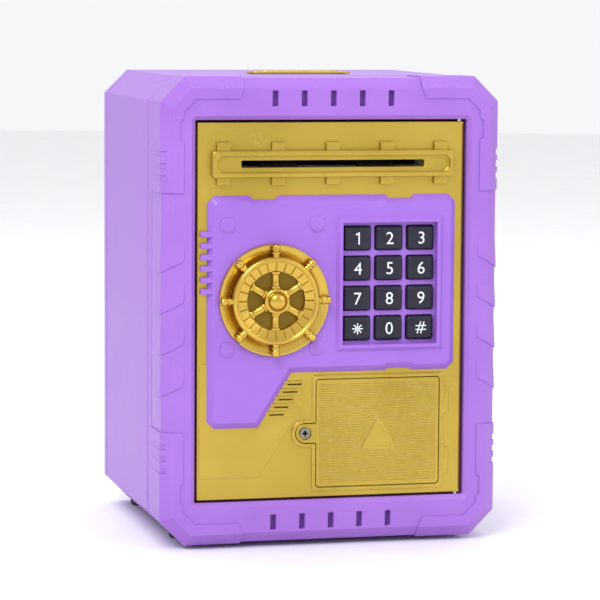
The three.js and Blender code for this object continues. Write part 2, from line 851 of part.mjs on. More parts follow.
// The cam on the shaft's inner end, whose crank pin moves the bolt.
function latchCam() {
  const disc = cut(
    rod("y", CAM_R, CAM_FRONT, CAM_BACK, 0, 0, 28),
    rod("y", SHAFT_R + 0.1, CAM_FRONT - 1, CAM_BACK + 1, 0, 0),
    block(-CAM_R - 1, -CAM_R + 2, CAM_FRONT - 1, CAM_BACK + 1, -2.6, 2.6),
  );
  const offset = CRANK_R * Math.SQRT1_2;
  return join(disc, rod("y", CRANK_PIN_R, CAM_FRONT, BOLT_BACK + 1, offset, offset, 12));
}

// The bolt: a flat bar whose wide end has an upright slot for the crank pin.
function latchBolt() {
  const slotX = KNOB_X + CRANK_R * Math.SQRT1_2;
  const slotHalf = CRANK_PIN_R + 0.35;
  const low = KNOB_Z + CRANK_R * Math.SQRT1_2 - CRANK_PIN_R - 0.5;
  const high = KNOB_Z + CRANK_R + CRANK_PIN_R + 0.5;
  return cut(
    join(
      block(-59.3, -33, BOLT_FRONT, BOLT_BACK, KNOB_Z - BOLT_H / 2, KNOB_Z + BOLT_H / 2),
      block(-35, -17, BOLT_FRONT, BOLT_BACK, KNOB_Z - 8, KNOB_Z + 9.5),
    ),
    block(slotX - slotHalf, slotX + slotHalf, BOLT_FRONT - 1, BOLT_BACK + 1, low, high),
  );
}

function boltGuide() {
  const h = BOLT_H / 2;
  return cut(
    block(-54, -47, 2.5, BOLT_BACK + 2.4, KNOB_Z - h - 3, KNOB_Z + h + 3),
    block(-55, -46, BOLT_FRONT - FIT, BOLT_BACK + FIT, KNOB_Z - h - FIT, KNOB_Z + h + FIT),
  );
}

function solenoidCoil() {
  const y = CAM_FRONT + 1.5;
  return cut(
    join(
      block(KNOB_X - 8, KNOB_X + 8, y - 5.5, y + 5.5, COIL_TOP - 1.2, COIL_TOP),
      block(KNOB_X - 8, KNOB_X + 8, y - 5.5, y + 5.5, COIL_BOTTOM, COIL_BOTTOM + 1.2),
      rod("z", 5.2, COIL_BOTTOM + 1, COIL_TOP - 1, KNOB_X, y, 20),
    ),
    rod("z", PLUNGER_R + 0.3, COIL_BOTTOM - 1, COIL_TOP + 1, KNOB_X, y),
  );
}

// ---- Battery bay --------------------------------------------------------------------------------
function batteryTray() {
  const wall = 1.5;
  const box = block(
    BAY_LEFT - wall,
    BAY_RIGHT + wall,
    TRAY_FRONT,
    TRAY_BACK,
    BAY_BOTTOM - wall,
    BAY_TOP + wall,
  );
  const ear = block(LOBE_X - 5, BAY_LEFT, TRAY_FRONT, 12, LOBE_Z - 5, LOBE_Z + 5);
  return cut(
    join(box, ear),
    block(
      BAY_LEFT + 0.6,
      BAY_RIGHT - 0.6,
      TRAY_FRONT - 1,
      TRAY_BACK - 1.4,
      BAY_BOTTOM + 0.6,
      BAY_TOP - 0.6,
    ),
    rod("y", 1.3, TRAY_FRONT - 1, 13, LOBE_X, LOBE_Z, 10),
  );
}

// A dry cell along X, with its raised end at the right (facing 1) or at the left (facing -1).
function cell(facing) {
  const body = rod("x", CELL_R, CELL_LEFT, CELL_RIGHT, 0, 0, 20);
  const tip = facing > 0 ? [CELL_RIGHT - 0.5, CELL_RIGHT + 1] : [CELL_LEFT - 1, CELL_LEFT + 0.5];
  return join(body, rod("x", 2.7, tip[0], tip[1], 0, 0, 12));
}

function cellZ(i) {
  return (BAY_BOTTOM + BAY_TOP) / 2 + (i - 1) * CELL_PITCH;
}

// A contact strip with a short spring stub against each cell's flat end.
function contactStrip(plateLeft, stubFrom, stubTo, cells) {
  const z = [cellZ(0) - 5, cellZ(2) + 5];
  const strip = block(plateLeft, plateLeft + 0.5, CELL_Y - 5, CELL_Y + 5, z[0], z[1]);
  const stubs = cells.map((i) => rod("x", 3, stubFrom, stubTo, CELL_Y, cellZ(i), 12));
  return join(strip, ...stubs);
}

function batteryCover() {
  return cut(
    bayPlate(0, COVER_FRONT, COVER_BACK),
    rod("y", 1.5, COVER_FRONT - 1, COVER_BACK + 1, LOBE_X, LOBE_Z, 12),
    rod("y", 2.7, COVER_FRONT - 1, COVER_FRONT + 1.2, LOBE_X, LOBE_Z),
  );
}

// The speaker: a magnet behind a shallow basket that flares towards the vents.
function speaker() {
  return turned([
    [0, 3.4],
    [9, 3.4],
    [12.5, 2.6],
    [12.5, 4.2],
    [7, 7.5],
    [7, 11],
    [0, 11],
  ]);
}

// ---- Placing the door's pieces --------------------------------------------------------------------
place(door, "door_shell", doorShell(), gold);
place(door, "door_panel", doorPanel(), purple);
place(door, "door_back_cover", doorBackCover(), purple);
place(door, "slot_cover", slotCover(), gold);
place(door, "keypad_mat", keypadBlock(0.5, 4.3, 5.1), silicone);
place(door, "circuit_board", circuitBoard(), boardGreen);
place(door, "note_guide", noteGuide(), white);
place(door, "note_motor", rod("x", 7.5, 31.5, 42.5, ROLLER_Y, PINION_Z, 24), steel);
place(door, "bolt_guide", boltGuide(), white);
place(door, "solenoid_coil", solenoidCoil(), copper);
place(door, "speaker", speaker(), rubber, -25, 0, 46);
place(door, "battery_tray", batteryTray(), gold);
place(door, "battery_cover", batteryCover(), gold);
place(door, "battery_cover_screw", screw(2.3, 1.1, 9), steel, LOBE_X, COVER_FRONT + 0.3, LOBE_Z);
for (let i = 0; i < 3; i++) {
  const facing = i === 1 ? -1 : 1;
  place(door, `battery_${i + 1}`, cell(facing), cellGrey, 0, CELL_Y, cellZ(i));
}
place(door, "battery_contacts_left", contactStrip(-5.6, -5.3, -3.1, [0, 2]), steel);
place(door, "battery_contacts_right", contactStrip(48.1, 47, 48.3, [1]), steel);

for (const [x, z] of doorScrewPlaces()) {
  const name = `door_screw_${z > DOOR_H / 2 ? "upper" : "lower"}_${x < 0 ? "left" : "right"}`;
  place(door, name, forwardScrew(2.3, 1, 8), steel, x, DOOR_DEPTH - 0.1, z);
}

for (const [name, x, z] of keyPlaces()) {
  place(door, `key_${name}`, key(), keyBlack, x, 0, z);
}

place(door, "drive_roller", roller(DRIVE_R, DRIVE_SHAFT_R, -46.5, 50.5), rubber, 0, ROLLER_Y, DRIVE_Z);
place(door, "idler_roller", roller(IDLER_R, IDLER_SHAFT_R, -46, 46), rubber, 0, ROLLER_Y, IDLER_Z);
const bore = rod("x", DRIVE_SHAFT_R + BEARING_GAP, GEAR_LEFT - 1, GEAR_RIGHT + 1, 0, 0);
const gearPhase = Math.PI / GEAR_TEETH;
place(door, "roller_gear", cut(gear(GEAR_TEETH, gearPhase), bore), white, 0, ROLLER_Y, DRIVE_Z);
place(
  door,
  "motor_pinion",
  join(gear(PINION_TEETH, 0), rod("x", 0.75, 42.8, GEAR_RIGHT, 0, 0, 10)),
  white,
  0,
  ROLLER_Y,
  PINION_Z,
);

place(knob, "knob_flange", knobFlange(), brightGold);
place(knob, "knob_wheel", knobWheel(), brightGold);
place(knob, "knob_shaft", rod("y", SHAFT_R, -8.7, CAM_BACK - 0.2, 0, 0), steel);
place(knob, "latch_cam", latchCam(), white);
place(door, "latch_bolt", latchBolt(), steel);
place(
  door,
  "solenoid_plunger",
  rod("z", PLUNGER_R, COIL_BOTTOM - 2, KNOB_Z - CAM_R - FIT, KNOB_X, CAM_FRONT + 1.5),
  steel,
);

export default root;
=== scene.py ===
"""A toy safe coin bank: a purple moulded case with a gold door that carries a keypad, a
ship's-wheel knob, a banknote slot and a battery bay. Lengths are millimetres until a mesh is made,
and become metres there. Points are X (right), Y (back) and Z (up), and an outline is a list of X
and Z."""
import math

import bmesh
import bpy
import numpy as np
from mathutils import Matrix, Vector
from mathutils.geometry import tessellate_polygon


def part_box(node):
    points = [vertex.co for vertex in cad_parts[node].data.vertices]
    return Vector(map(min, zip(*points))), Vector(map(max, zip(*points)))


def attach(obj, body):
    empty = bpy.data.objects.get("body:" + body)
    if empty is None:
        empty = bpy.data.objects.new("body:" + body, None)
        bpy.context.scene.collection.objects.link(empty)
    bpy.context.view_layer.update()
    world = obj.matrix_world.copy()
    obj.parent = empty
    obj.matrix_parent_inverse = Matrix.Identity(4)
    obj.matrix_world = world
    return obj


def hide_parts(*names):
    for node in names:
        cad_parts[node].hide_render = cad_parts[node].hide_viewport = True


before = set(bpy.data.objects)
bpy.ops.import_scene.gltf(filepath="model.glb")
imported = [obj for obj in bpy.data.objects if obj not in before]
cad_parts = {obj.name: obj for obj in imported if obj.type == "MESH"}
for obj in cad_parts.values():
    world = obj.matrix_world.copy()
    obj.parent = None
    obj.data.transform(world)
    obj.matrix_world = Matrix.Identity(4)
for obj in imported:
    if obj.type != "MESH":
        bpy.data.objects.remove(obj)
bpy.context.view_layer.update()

# ---- Front frame --------------------------------------------------------------------------------
# The moulded ring round the door, in satin purple plastic. It is a swept wall with a sloping outer
# edge, a sloping lead-in to the doorway, and a face that is pierced by ten short slots.
MM = 0.001


def node_box(name):
    """A CAD node's lowest and highest corner, in millimetres."""
    low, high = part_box(name)
    return np.array(low) / MM, np.array(high) / MM


DOOR_LOW, DOOR_HIGH = node_box("door_shell")
CASE = np.array([0, DOOR_LOW[1], 0])  # the case's own origin: the door's face, at floor level
DOOR = np.array([0, DOOR_LOW[1], DOOR_LOW[2]])  # the door's own origin: its face, at its lower edge


def chamfered(half_w, low, high, corner):
    """The corners of a rectangle about x = 0 with 45 degree chamfers, anticlockwise from the
    front."""
    x, c = half_w, corner
    return np.array([[c - x, low], [x - c, low], [x, low + c], [x, high - c],
                     [x - c, high], [c - x, high], [-x, high - c], [-x, low + c]])


def rectangle(x_min, x_max, z_min, z_max):
    """The four corners of a rectangle, anticlockwise from the front."""
    return np.array([[x_min, z_min], [x_max, z_min], [x_max, z_max], [x_min, z_max]], float)


def filleted(corners, radius, steps=5, closed=True):
    """Turns each corner into an arc that touches both of its edges: it starts radius times the
    tangent of half the turn before the corner and sweeps through the turn about the arc's
    centre."""
    corners = np.asarray(corners, float)
    into = corners - np.roll(corners, 1, 0)
    away = np.roll(corners, -1, 0) - corners
    into /= np.linalg.norm(into, axis=1)[:, None]
    away /= np.linalg.norm(away, axis=1)[:, None]
    turn = np.arctan2(into[:, 0] * away[:, 1] - into[:, 1] * away[:, 0], (into * away).sum(1))
    radius = np.broadcast_to(np.asarray(radius, float), len(corners))
    start = corners - into * (radius * np.tan(np.abs(turn) / 2))[:, None]
    spoke = np.column_stack([-into[:, 1], into[:, 0]]) * (np.sign(turn) * radius)[:, None]
    angle = turn[:, None] * np.linspace(0, 1, steps + 1)
    cos, sin = np.cos(angle), np.sin(angle)
    arcs = np.stack([-cos * spoke[:, :1] + sin * spoke[:, 1:],
                     -sin * spoke[:, :1] - cos * spoke[:, 1:]], 2)
    arcs += (start + spoke)[:, None]
    if closed:
        return arcs.reshape(-1, 2)
    return np.concatenate([corners[:1], arcs[1:-1].reshape(-1, 2), corners[-1:]])


def grown(outline, by):
    """Moves an outline outwards: each point goes along the sum of its two edges' outward normals,
    divided by one plus their dot product, so that both edges move by the whole distance."""
    edge = np.roll(outline, -1, 0) - outline
    edge = edge / np.linalg.norm(edge, axis=1)[:, None]
    after = np.column_stack([edge[:, 1], -edge[:, 0]])
    before = np.roll(after, 1, 0)
    outward = (after + before) / (1 + (after * before).sum(1))[:, None]
    return outline + np.reshape(by, (-1, 1)) * outward


def grid_faces(rows, columns, wrap):
    """Quads between neighbouring rows and columns of a grid of points, closed into a ring if
    wrap."""
    r, c = np.meshgrid(np.arange(rows - 1), np.arange(columns if wrap else columns - 1),
                       indexing="ij")
    d = (c + 1) % columns
    quads = np.stack([r * columns + c, r * columns + d,
                      (r + 1) * columns + d, (r + 1) * columns + c], 2)
    return quads.reshape(-1, 4)


def lifted(outline, y):
    """An outline's points in space, at depth y."""
    return np.column_stack([outline[:, 0], np.broadcast_to(y, len(outline)), outline[:, 1]])


def skirt(outline, path):
    """Walls along an outline. Each (growth, y) of the path is a ring, the outline grown by that
    much at that depth. The rings run from the back of an outer wall to its front and then
    inwards."""
    rings = [lifted(grown(outline, growth), y) for growth, y in path]
    return np.concatenate(rings), grid_faces(len(rings), len(outline), True)


def cap(y, outline, *holes):
    """A flat face towards the front at depth y, inside an outline and outside its holes."""
    flat = np.concatenate([outline, *holes])
    triangles = np.array(tessellate_polygon([lifted(loop, 0)[:, [0, 2, 1]].tolist()
                                             for loop in (outline, *holes)]))
    a, b, c = (flat[triangles[:, k]] for k in range(3))
    clockwise = (b - a)[:, 0] * (c - a)[:, 1] < (b - a)[:, 1] * (c - a)[:, 0]
    triangles[clockwise] = triangles[clockwise][:, ::-1]
    return lifted(flat, y), triangles


def flipped(part):
    """The same faces, looking the other way."""
    return part[0], part[1][:, ::-1]


def rim(radius, front, steps=4):
    """A path round a front edge: a quarter circle from the wall, radius behind the face, to the
    face."""
    angle = np.linspace(0, math.pi / 2, steps + 1)
    return list(zip(radius * (np.cos(angle) - 1), front + radius * (1 - np.sin(angle))))


def mouth(radius, front, steps=4):
    """A path round the edge of a hole: the same quarter circle from the face down into the hole."""
    return [(-growth, y) for growth, y in reversed(rim(radius, front, steps))]


def pad(outline, base, front, radius, holes=(), hole_radius=0.0):
    """A raised plate with a round front edge, and holes through it whose front edges are round
    too."""
    parts = [skirt(outline, [(0, base)] + rim(radius, front)), flipped(cap(base, outline, *holes)),
             cap(front, grown(outline, -radius), *[grown(hole, hole_radius) for hole in holes])]
    return parts + [skirt(hole, mouth(hole_radius, front) + [(0, base)]) for hole in holes]


def perimeter(rows, columns):
    """The numbers of a grid's outer points, once round."""
    return np.concatenate([np.arange(columns), columns * np.arange(1, rows) + columns - 1,
                           rows * columns - 2 - np.arange(columns - 1),
                           columns * np.arange(rows - 2, 0, -1)])


def thick(top, bottom):
    """A closed solid between two grids of points of the same shape, such as a moulded tile."""
    rows, columns = top.shape[:2]
    edge = perimeter(rows, columns)
    after = np.roll(edge, -1)
    shift = rows * columns
    walls = np.stack([edge + shift, after + shift, after, edge], 1)
    faces = grid_faces(rows, columns, False)
    points = np.concatenate([top.reshape(-1, 3), bottom.reshape(-1, 3)])
    return points, np.concatenate([faces, faces[:, ::-1] + shift, walls])


def mirrored(part):
    """The part's mirror image in X, with its faces turned to look outwards again."""
    return part[0] * [-1, 1, 1], part[1][:, ::-1]


def about_face(part):
    """The part turned half round about the Z axis, so that its front looks backwards."""
    return part[0] * [-1, -1, 1], part[1]


def placed(part, x, y, z):
    """The part moved by x, y and z."""
    return part[0] + [x, y, z], part[1]


def pierced(part, axis, at, low, high):
    """The part with a rectangular hole through each of its quads that lies across an axis at that
    place and spans the hole. Low and high are the hole's corners along the other two axes."""
    points, faces = part
    across = [k for k in range(3) if k != axis]
    corners = points[faces]
    level = np.abs(corners[:, :, axis] - at).max(1) < 0.01
    wide = (corners.min(1)[:, across] < low).all(1) & (corners.max(1)[:, across] > high).all(1)
    parts = [(points, faces[~(level & wide)])]
    for quad in corners[level & wide]:
        a, b = quad.min(0)[across], quad.max(0)[across]
        flat, triangles = cap(0, rectangle(a[0], b[0], a[1], b[1]),
                              rectangle(low[0], high[0], low[1], high[1]))
        plane = np.full((len(flat), 3), float(at))
        plane[:, across] = flat[:, [0, 2]]
        positive = np.cross(quad[1] - quad[0], quad[2] - quad[1])[axis] > 0
        parts.append((plane, triangles if positive == (axis != 1) else triangles[:, ::-1]))
    return parts


def tunnel(axis, low, high, start, end, bottom=False):
    """The four walls of a rectangular hole along an axis, facing into it, and its bottom if it has
    one."""
    across = [k for k in range(3) if k != axis]
    loop = rectangle(low[0], high[0], low[1], high[1])
    points = np.zeros((8, 3))
    points[:, across] = np.concatenate([loop, loop])
    points[:, axis] = np.repeat([start, end], 4)
    faces = grid_faces(2, 4, True)
    if bottom:
        faces = np.concatenate([faces, [[4, 5, 6, 7]]])
    inward = (end > start) == (axis == 1)
    return points, faces if inward else faces[:, ::-1]


def piece(name, parts, origin, material, body, stands_for=(), soften=0.0):
    """Joins parts into one mesh, merges their shared points, shades what turns by less than 32
    degrees smooth, and puts the piece on its body. A piece may have its edges softened by a small
    bevel."""
    counts = np.cumsum([0] + [len(points) for points, _ in parts])
    faces = [[corner + start for corner in face] for (_, quads),
             start in zip(parts, counts.tolist())
             for face in np.asarray(quads, object).tolist()]
    points = (np.concatenate([points for points, _ in parts]) + origin) * MM
    mesh = bpy.data.meshes.new(name)
    mesh.from_pydata(points.tolist(), [], faces)
    merged = bmesh.new()
    merged.from_mesh(mesh)
    bmesh.ops.remove_doubles(merged, verts=merged.verts, dist=2e-6)
    merged.to_mesh(mesh)
    merged.free()
    mesh.shade_smooth()
    mesh.set_sharp_from_angle(angle=math.radians(32))
    obj = bpy.data.objects.new(name, mesh)
    bpy.context.scene.collection.objects.link(obj)
    mesh.materials.append(material)
    if soften:
        bevel = obj.modifiers.new("soft edges", "BEVEL")
        bevel.width = soften * MM
        bevel.segments = 3
        bevel.limit_method = "ANGLE"
        bevel.angle_limit = math.radians(30)
        bevel.harden_normals = True
    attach(obj, body)
    if stands_for:
        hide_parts(*stands_for)
    return obj


def group_of(name, inputs, outputs):
    """An empty shader node group with named inputs (a default each) and outputs, and its two end
    nodes."""
    group = bpy.data.node_groups.new(name, "ShaderNodeTree")
    for label, value in inputs:
        group.interface.new_socket(label, in_out="INPUT",
                                   socket_type="NodeSocketFloat").default_value = value
    for label in outputs:
        group.interface.new_socket(label, in_out="OUTPUT", socket_type="NodeSocketFloat")
    return group, group.nodes.new("NodeGroupInput"), group.nodes.new("NodeGroupOutput")


def noise(tree, coordinates, scale, detail=3.0, roughness=0.55):
    """A noise texture's value, at a scale in waves per metre that is a number or a socket."""
    node = tree.nodes.new("ShaderNodeTexNoise")
    node.inputs["Detail"].default_value = detail
    node.inputs["Roughness"].default_value = roughness
    tree.links.new(coordinates, node.inputs["Vector"])
    if isinstance(scale, (int, float)):
        node.inputs["Scale"].default_value = scale
    else:
        tree.links.new(scale, node.inputs["Scale"])
    return node.outputs["Fac"]


def maths(tree, operation, a, b=0.0):
    """A Math node's value. Each operand is a number or a socket."""
    node = tree.nodes.new("ShaderNodeMath")
    node.operation = operation
    for value, socket in ((a, node.inputs[0]), (b, node.inputs[1])):
        if isinstance(value, (int, float)):
            socket.default_value = value
        else:
            tree.links.new(value, socket)
    return node.outputs[0]


def spread(tree, value, low, high):
    """A value stretched so that low becomes 0 and high becomes 1, and clipped."""
    node = tree.nodes.new("ShaderNodeMapRange")
    node.inputs["From Min"].default_value = low
    node.inputs["From Max"].default_value = high
    tree.links.new(value, node.inputs["Value"])
    return node.outputs["Result"]


def moulded_group():
    """The surface of moulded plastic. Tone is a slow drift in colour, Grain the fine eroded texture
    of the tool, Rub a scatter of faint rubbed patches, and Dust gathers on faces that look up."""
    group, given, out = group_of("moulded surface", [("Grain Scale", 2500.0)],
                                 ["Tone", "Grain", "Rub", "Dust"])
    place = group.nodes.new("ShaderNodeTexCoord").outputs["Object"]
    links = group.links
    links.new(spread(group, noise(group, place, 22.0, 2.0), 0.3, 0.7), out.inputs["Tone"])
    links.new(noise(group, place, given.outputs["Grain Scale"], 2.0, 0.7), out.inputs["Grain"])
    patches = spread(group, noise(group, place, 60.0, 4.0), 0.56, 0.74)
    threads = spread(group, noise(group, place, 900.0, 3.0, 0.7), 0.45, 0.75)
    faint = maths(group, "MULTIPLY", threads, 0.4)
    links.new(maths(group, "MULTIPLY", patches, faint), out.inputs["Rub"])
    normal = group.nodes.new("ShaderNodeSeparateXYZ")
    links.new(group.nodes.new("ShaderNodeNewGeometry").outputs["Normal"], normal.inputs[0])
    upward = spread(group, normal.outputs["Z"], 0.5, 1.0)
    specks = spread(group, noise(group, place, 700.0, 4.0, 0.75), 0.5, 0.78)
    links.new(maths(group, "MULTIPLY", upward, specks), out.inputs["Dust"])
    return group


def edge_group():
    """Wear along edges, partly real and partly a painted highlight: how far the normal, rounded off
    over Width metres, turns from the true one, broken up by noise so that the line isn't even."""
    group, given, out = group_of("edge wear and painted highlight", [("Width", 0.0006)], ["Edge"])
    rounded = group.nodes.new("ShaderNodeBevel")
    rounded.samples = 4
    links = group.links
    links.new(given.outputs["Width"], rounded.inputs["Radius"])
    dot = group.nodes.new("ShaderNodeVectorMath")
    dot.operation = "DOT_PRODUCT"
    links.new(rounded.outputs["Normal"], dot.inputs[0])
    links.new(group.nodes.new("ShaderNodeNewGeometry").outputs["Normal"], dot.inputs[1])
    turned_by = maths(group, "SUBTRACT", 1.0, dot.outputs["Value"])
    place = group.nodes.new("ShaderNodeTexCoord").outputs["Object"]
    uneven = spread(group, noise(group, place, 350.0, 4.0, 0.7), 0.35, 0.65)
    links.new(maths(group, "MULTIPLY", spread(group, turned_by, 0.02, 0.3), uneven),
              out.inputs["Edge"])
    return group


MOULDED = moulded_group()
EDGES = edge_group()


def tint(tree, amount, below, above):
    """A colour mixed from below towards above by amount. Colours are triples or sockets."""
    node = tree.nodes.new("ShaderNodeMix")
    node.data_type = "RGBA"
    factor, a, b = node.inputs[0], node.inputs[6], node.inputs[7]  # the colour mix's own sockets
    tree.links.new(amount, factor)
    for value, socket in ((below, a), (above, b)):
        if isinstance(value, tuple):
            socket.default_value = (*value, 1)
        else:
            tree.links.new(value, socket)
    return node.outputs[2]


def finish(name, light, dark, wear_and_highlight_colour, roughness, metallic=0.0, grain=2500.0, bump=0.06, wear_and_highlight=0.5,
           coat=0.0, gloss_drift=0.08, dusty=0.25, shine=0.5):
    """A material of moulded or metal parts. Its colour drifts from dark to light, goes towards a
    lighter colour at rubbed patches, which is wear, and at edges, which is partly wear and partly a
    painted highlight, and pales a little with dust. Roughness drifts with it, and grain is bump."""
    material = bpy.data.materials.new(name)
    material.use_nodes = True
    tree = material.node_tree
    shader = tree.nodes["Principled BSDF"]
    shader.inputs["Metallic"].default_value = metallic
    shader.inputs["Coat Weight"].default_value = coat
    shader.inputs["Coat Roughness"].default_value = 0.12
    shader.inputs["Specular IOR Level"].default_value = shine
    surface = tree.nodes.new("ShaderNodeGroup")
    surface.node_tree = MOULDED
    surface.inputs["Grain Scale"].default_value = grain
    edges = tree.nodes.new("ShaderNodeGroup")
    edges.node_tree = EDGES
    tone = tint(tree, surface.outputs["Tone"], dark, light)
    # Edges and rubbed patches go towards a lighter colour: wear on the patches, and on the edges
    # partly wear and partly a painted highlight.
    wear_and_highlight_mask = maths(tree, "MAXIMUM", edges.outputs["Edge"], surface.outputs["Rub"])
    colour = tint(tree, maths(tree, "MULTIPLY", wear_and_highlight_mask, wear_and_highlight), tone, wear_and_highlight_colour)
    colour = tint(tree, maths(tree, "MULTIPLY", surface.outputs["Dust"], dusty), colour,
                  (0.55, 0.53, 0.52))
    tree.links.new(colour, shader.inputs["Base Color"])
    sheen = maths(tree, "MULTIPLY_ADD", surface.outputs["Tone"], gloss_drift)
    sheen.node.inputs[2].default_value = roughness - gloss_drift / 2
    matt = maths(tree, "MULTIPLY_ADD", wear_and_highlight_mask, 0.1)
    tree.links.new(sheen, matt.node.inputs[2])
    tree.links.new(matt, shader.inputs["Roughness"])
    relief = tree.nodes.new("ShaderNodeBump")
    relief.inputs["Strength"].default_value = bump
    relief.inputs["Distance"].default_value = 0.0002
    tree.links.new(surface.outputs["Grain"], relief.inputs["Height"])
    tree.links.new(relief.outputs["Normal"], shader.inputs["Normal"])
    return material


case_plastic = finish("satin purple case plastic", (0.320, 0.135, 0.570), (0.285, 0.115, 0.525),
                      (0.46, 0.26, 0.70), 0.40)

FRAME_LOW, FRAME_HIGH = node_box("front_frame")
BODY_LOW, BODY_HIGH = FRAME_LOW[2], FRAME_HIGH[2]
HALF_W = FRAME_HIGH[0]
CHAMFER = 11.0
FRAME_BACK = 22.0
PLATE_LIFT = 0.6  # how far the corner plates stand out
FACE = -2.5 + PLATE_LIFT
SLOPE = 5.0
LEAD_IN = 2.5
OPEN_X = DOOR_HIGH[0] + 1
OPEN_LOW, OPEN_HIGH = DOOR_LOW[2] - 1, DOOR_HIGH[2] + 1

outer = chamfered(HALF_W, BODY_LOW, BODY_HIGH, CHAMFER)
doorway = chamfered(OPEN_X, OPEN_LOW, OPEN_HIGH, 0.5)
outer_wall = filleted([[-3.1, FRAME_BACK], [-PLATE_LIFT, FRAME_BACK], [-PLATE_LIFT, 2.5],
                       [-SLOPE - 0.2, FACE], [-SLOPE - 0.6, FACE]], 0.7, closed=False)
inner_wall = filleted([[LEAD_IN + 1, FACE], [LEAD_IN - 0.6, FACE], [0, -0.1], [0, FRAME_BACK],
                       [2.5, FRAME_BACK]],
                      0.5, closed=False)
FACE_SLOT_PITCH, FACE_SLOT_INSET = 13.0, 9.5  # between slots, and from the case's edge to a middle
FACE_SLOT_HALF_W, FACE_SLOT_HALF_H, FACE_SLOT_LIP = 1.3, 3.4, 0.3
FACE_SLOT_FLOOR = FACE + 4.5
slots = []
slot_walls = []
for i in range(-2, 3):
    for z in (BODY_LOW + FACE_SLOT_INSET, BODY_HIGH - FACE_SLOT_INSET):
        x = FACE_SLOT_PITCH * i
        slot = filleted(rectangle(x - FACE_SLOT_HALF_W, x + FACE_SLOT_HALF_W,
                                  z - FACE_SLOT_HALF_H, z + FACE_SLOT_HALF_H), 0.4, 3)
        slots.append(grown(slot, FACE_SLOT_LIP))
        slot_walls += [skirt(slot, mouth(FACE_SLOT_LIP, FACE) + [(0, FACE_SLOT_FLOOR)]),
                       cap(FACE_SLOT_FLOOR, slot)]
BOLT_HOLE_FRONT, BOLT_HOLE_BACK, BOLT_PLAY = 12.2, 16.8, 0.8
BOLT_LOW = np.array([BOLT_HOLE_FRONT, node_box("latch_bolt")[0][2] - BOLT_PLAY])
BOLT_HIGH = np.array([BOLT_HOLE_BACK, node_box("latch_bolt")[1][2] + BOLT_PLAY])
frame_parts = [
    skirt(outer, outer_wall),
    *pierced(skirt(doorway, inner_wall), 0, -OPEN_X, BOLT_LOW, BOLT_HIGH),
    tunnel(0, BOLT_LOW, BOLT_HIGH, -OPEN_X, node_box("latch_keeper")[0][0], bottom=True),
    cap(FACE, grown(outer, -SLOPE - 0.6), grown(doorway, LEAD_IN + 1), *slots),
    flipped(cap(FRAME_BACK, grown(outer, -3.1), grown(doorway, 2.5))),
    *slot_walls,
]
piece("front_frame_shell", frame_parts, CASE, case_plastic, "case", ["front_frame"])

# ---- Corner plates and side tiles ---------------------------------------------------------------
# Raised armour-like plates moulded on the frame: an L at each corner with three notches and a tab
# in its side arm, and four wedge-shaped tiles on each side. They share the frame's purple plastic.
PLATE_IN = 9.5  # from the case's outline to a plate's inner edge
TOP_ARM, SIDE_ARM = 36.0, 50.0
PLATE_NOTCH_START, PLATE_NOTCH_PITCH, PLATE_NOTCH_WIDTH, PLATE_NOTCH_DEPTH = 5.0, 5.2, 2.6, 0.9
TAB_START, TAB_LENGTH, TAB_SLOPE, TAB_REACH = 22.0, 10.0, 1.0, 1.6
TILE_HEIGHT, TILE_PITCH, FIRST_TILE = 8.5, 18.0, -31.0  # the first from the case's middle height
CORNER_STATIONS = [(0.0, 21.6), (0.0, 2.5), (-2.4, 0.1), (-2.4, 0.1), (-5.0, -2.5),
                   (-PLATE_IN, -2.5)]


def corner_plate():
    """The upper right plate. Rows run along the outline from the side arm's end to the top arm's,
    and columns across it. A row between two notch edges sinks the outer columns, and the tab's rows
    pull the inner column back, so that each doubled row or column is an upright wall."""
    side_end, top_end = BODY_HIGH - SIDE_ARM, HALF_W - TOP_ARM
    heights, sunk, pulled = [side_end], [0], [0]
    for i in range(3):
        z = side_end + PLATE_NOTCH_START + PLATE_NOTCH_PITCH * i
        heights += [z, z, z + PLATE_NOTCH_WIDTH, z + PLATE_NOTCH_WIDTH]
        sunk += [0, 1, 1, 0]
        pulled += [0, 0, 0, 0]
    tab = side_end + TAB_START
    tab_end = tab + TAB_LENGTH
    heights += [tab, tab + TAB_SLOPE, tab_end - TAB_SLOPE, tab_end]
    sunk += [0] * 4
    pulled += [0, 1, 1, 0]
    heights, sunk, pulled = (np.array(values, float) for values in (heights, sunk, pulled))
    columns = []
    for j, (growth, y) in enumerate(CORNER_STATIONS):
        drop = PLATE_NOTCH_DEPTH * sunk * (j < 3)
        inset = growth - drop * (0.4 if j else 0.0) + TAB_REACH * pulled * (j == 5)
        arm = np.column_stack([HALF_W + inset, y + drop, heights])
        corner = grown(outer, growth)[3:5]
        bend = lifted(corner, y)
        end = [[top_end + (1.8 if j == 5 else 0.0), y, BODY_HIGH + growth]]
        columns.append(np.concatenate([arm, bend, end]))
    top = np.stack(columns, 1)[:, ::-1]
    under = top.copy()
    under[:, :, 1] += 1.3
    under[:, 3:, 0] -= 0.9
    under[-1:, 3:, 0] += 0.9
    under[len(heights):, 3:, 2] -= 0.9
    return thick(top, under)


def side_tile(z):
    """A wedge on the right side: proud at its slanting lower end and level with the frame at its
    top."""
    stations = [(0.0, 14.0), (0.0, 2.5), (-5.0, -2.5), (-PLATE_IN, -2.5)]
    slant = [-5.4, -5.4, -2.4, 0.0]
    foot = np.array([[HALF_W + g, y, z + dz] for (g, y), dz in zip(stations, slant)])
    head = foot + [-PLATE_LIFT * 0.9, PLATE_LIFT * 0.9, 0]
    head[:, 2] = z + TILE_HEIGHT
    top = np.stack([foot, head])[:, ::-1]
    under = top + [-0.7, 0.9, 0]
    return thick(top, under)


middle = (BODY_LOW + BODY_HIGH) / 2
plates = [corner_plate()] + [side_tile(middle + TILE_PITCH * i + FIRST_TILE) for i in range(4)]
upside_down = placed((plates[0][0] * [1, 1, -1], plates[0][1][:, ::-1]), 0, 0, 2 * middle)
plates.append(upside_down)
plates += [mirrored(part) for part in plates]
piece("frame_plates", plates, CASE, case_plastic, "case", soften=0.25)

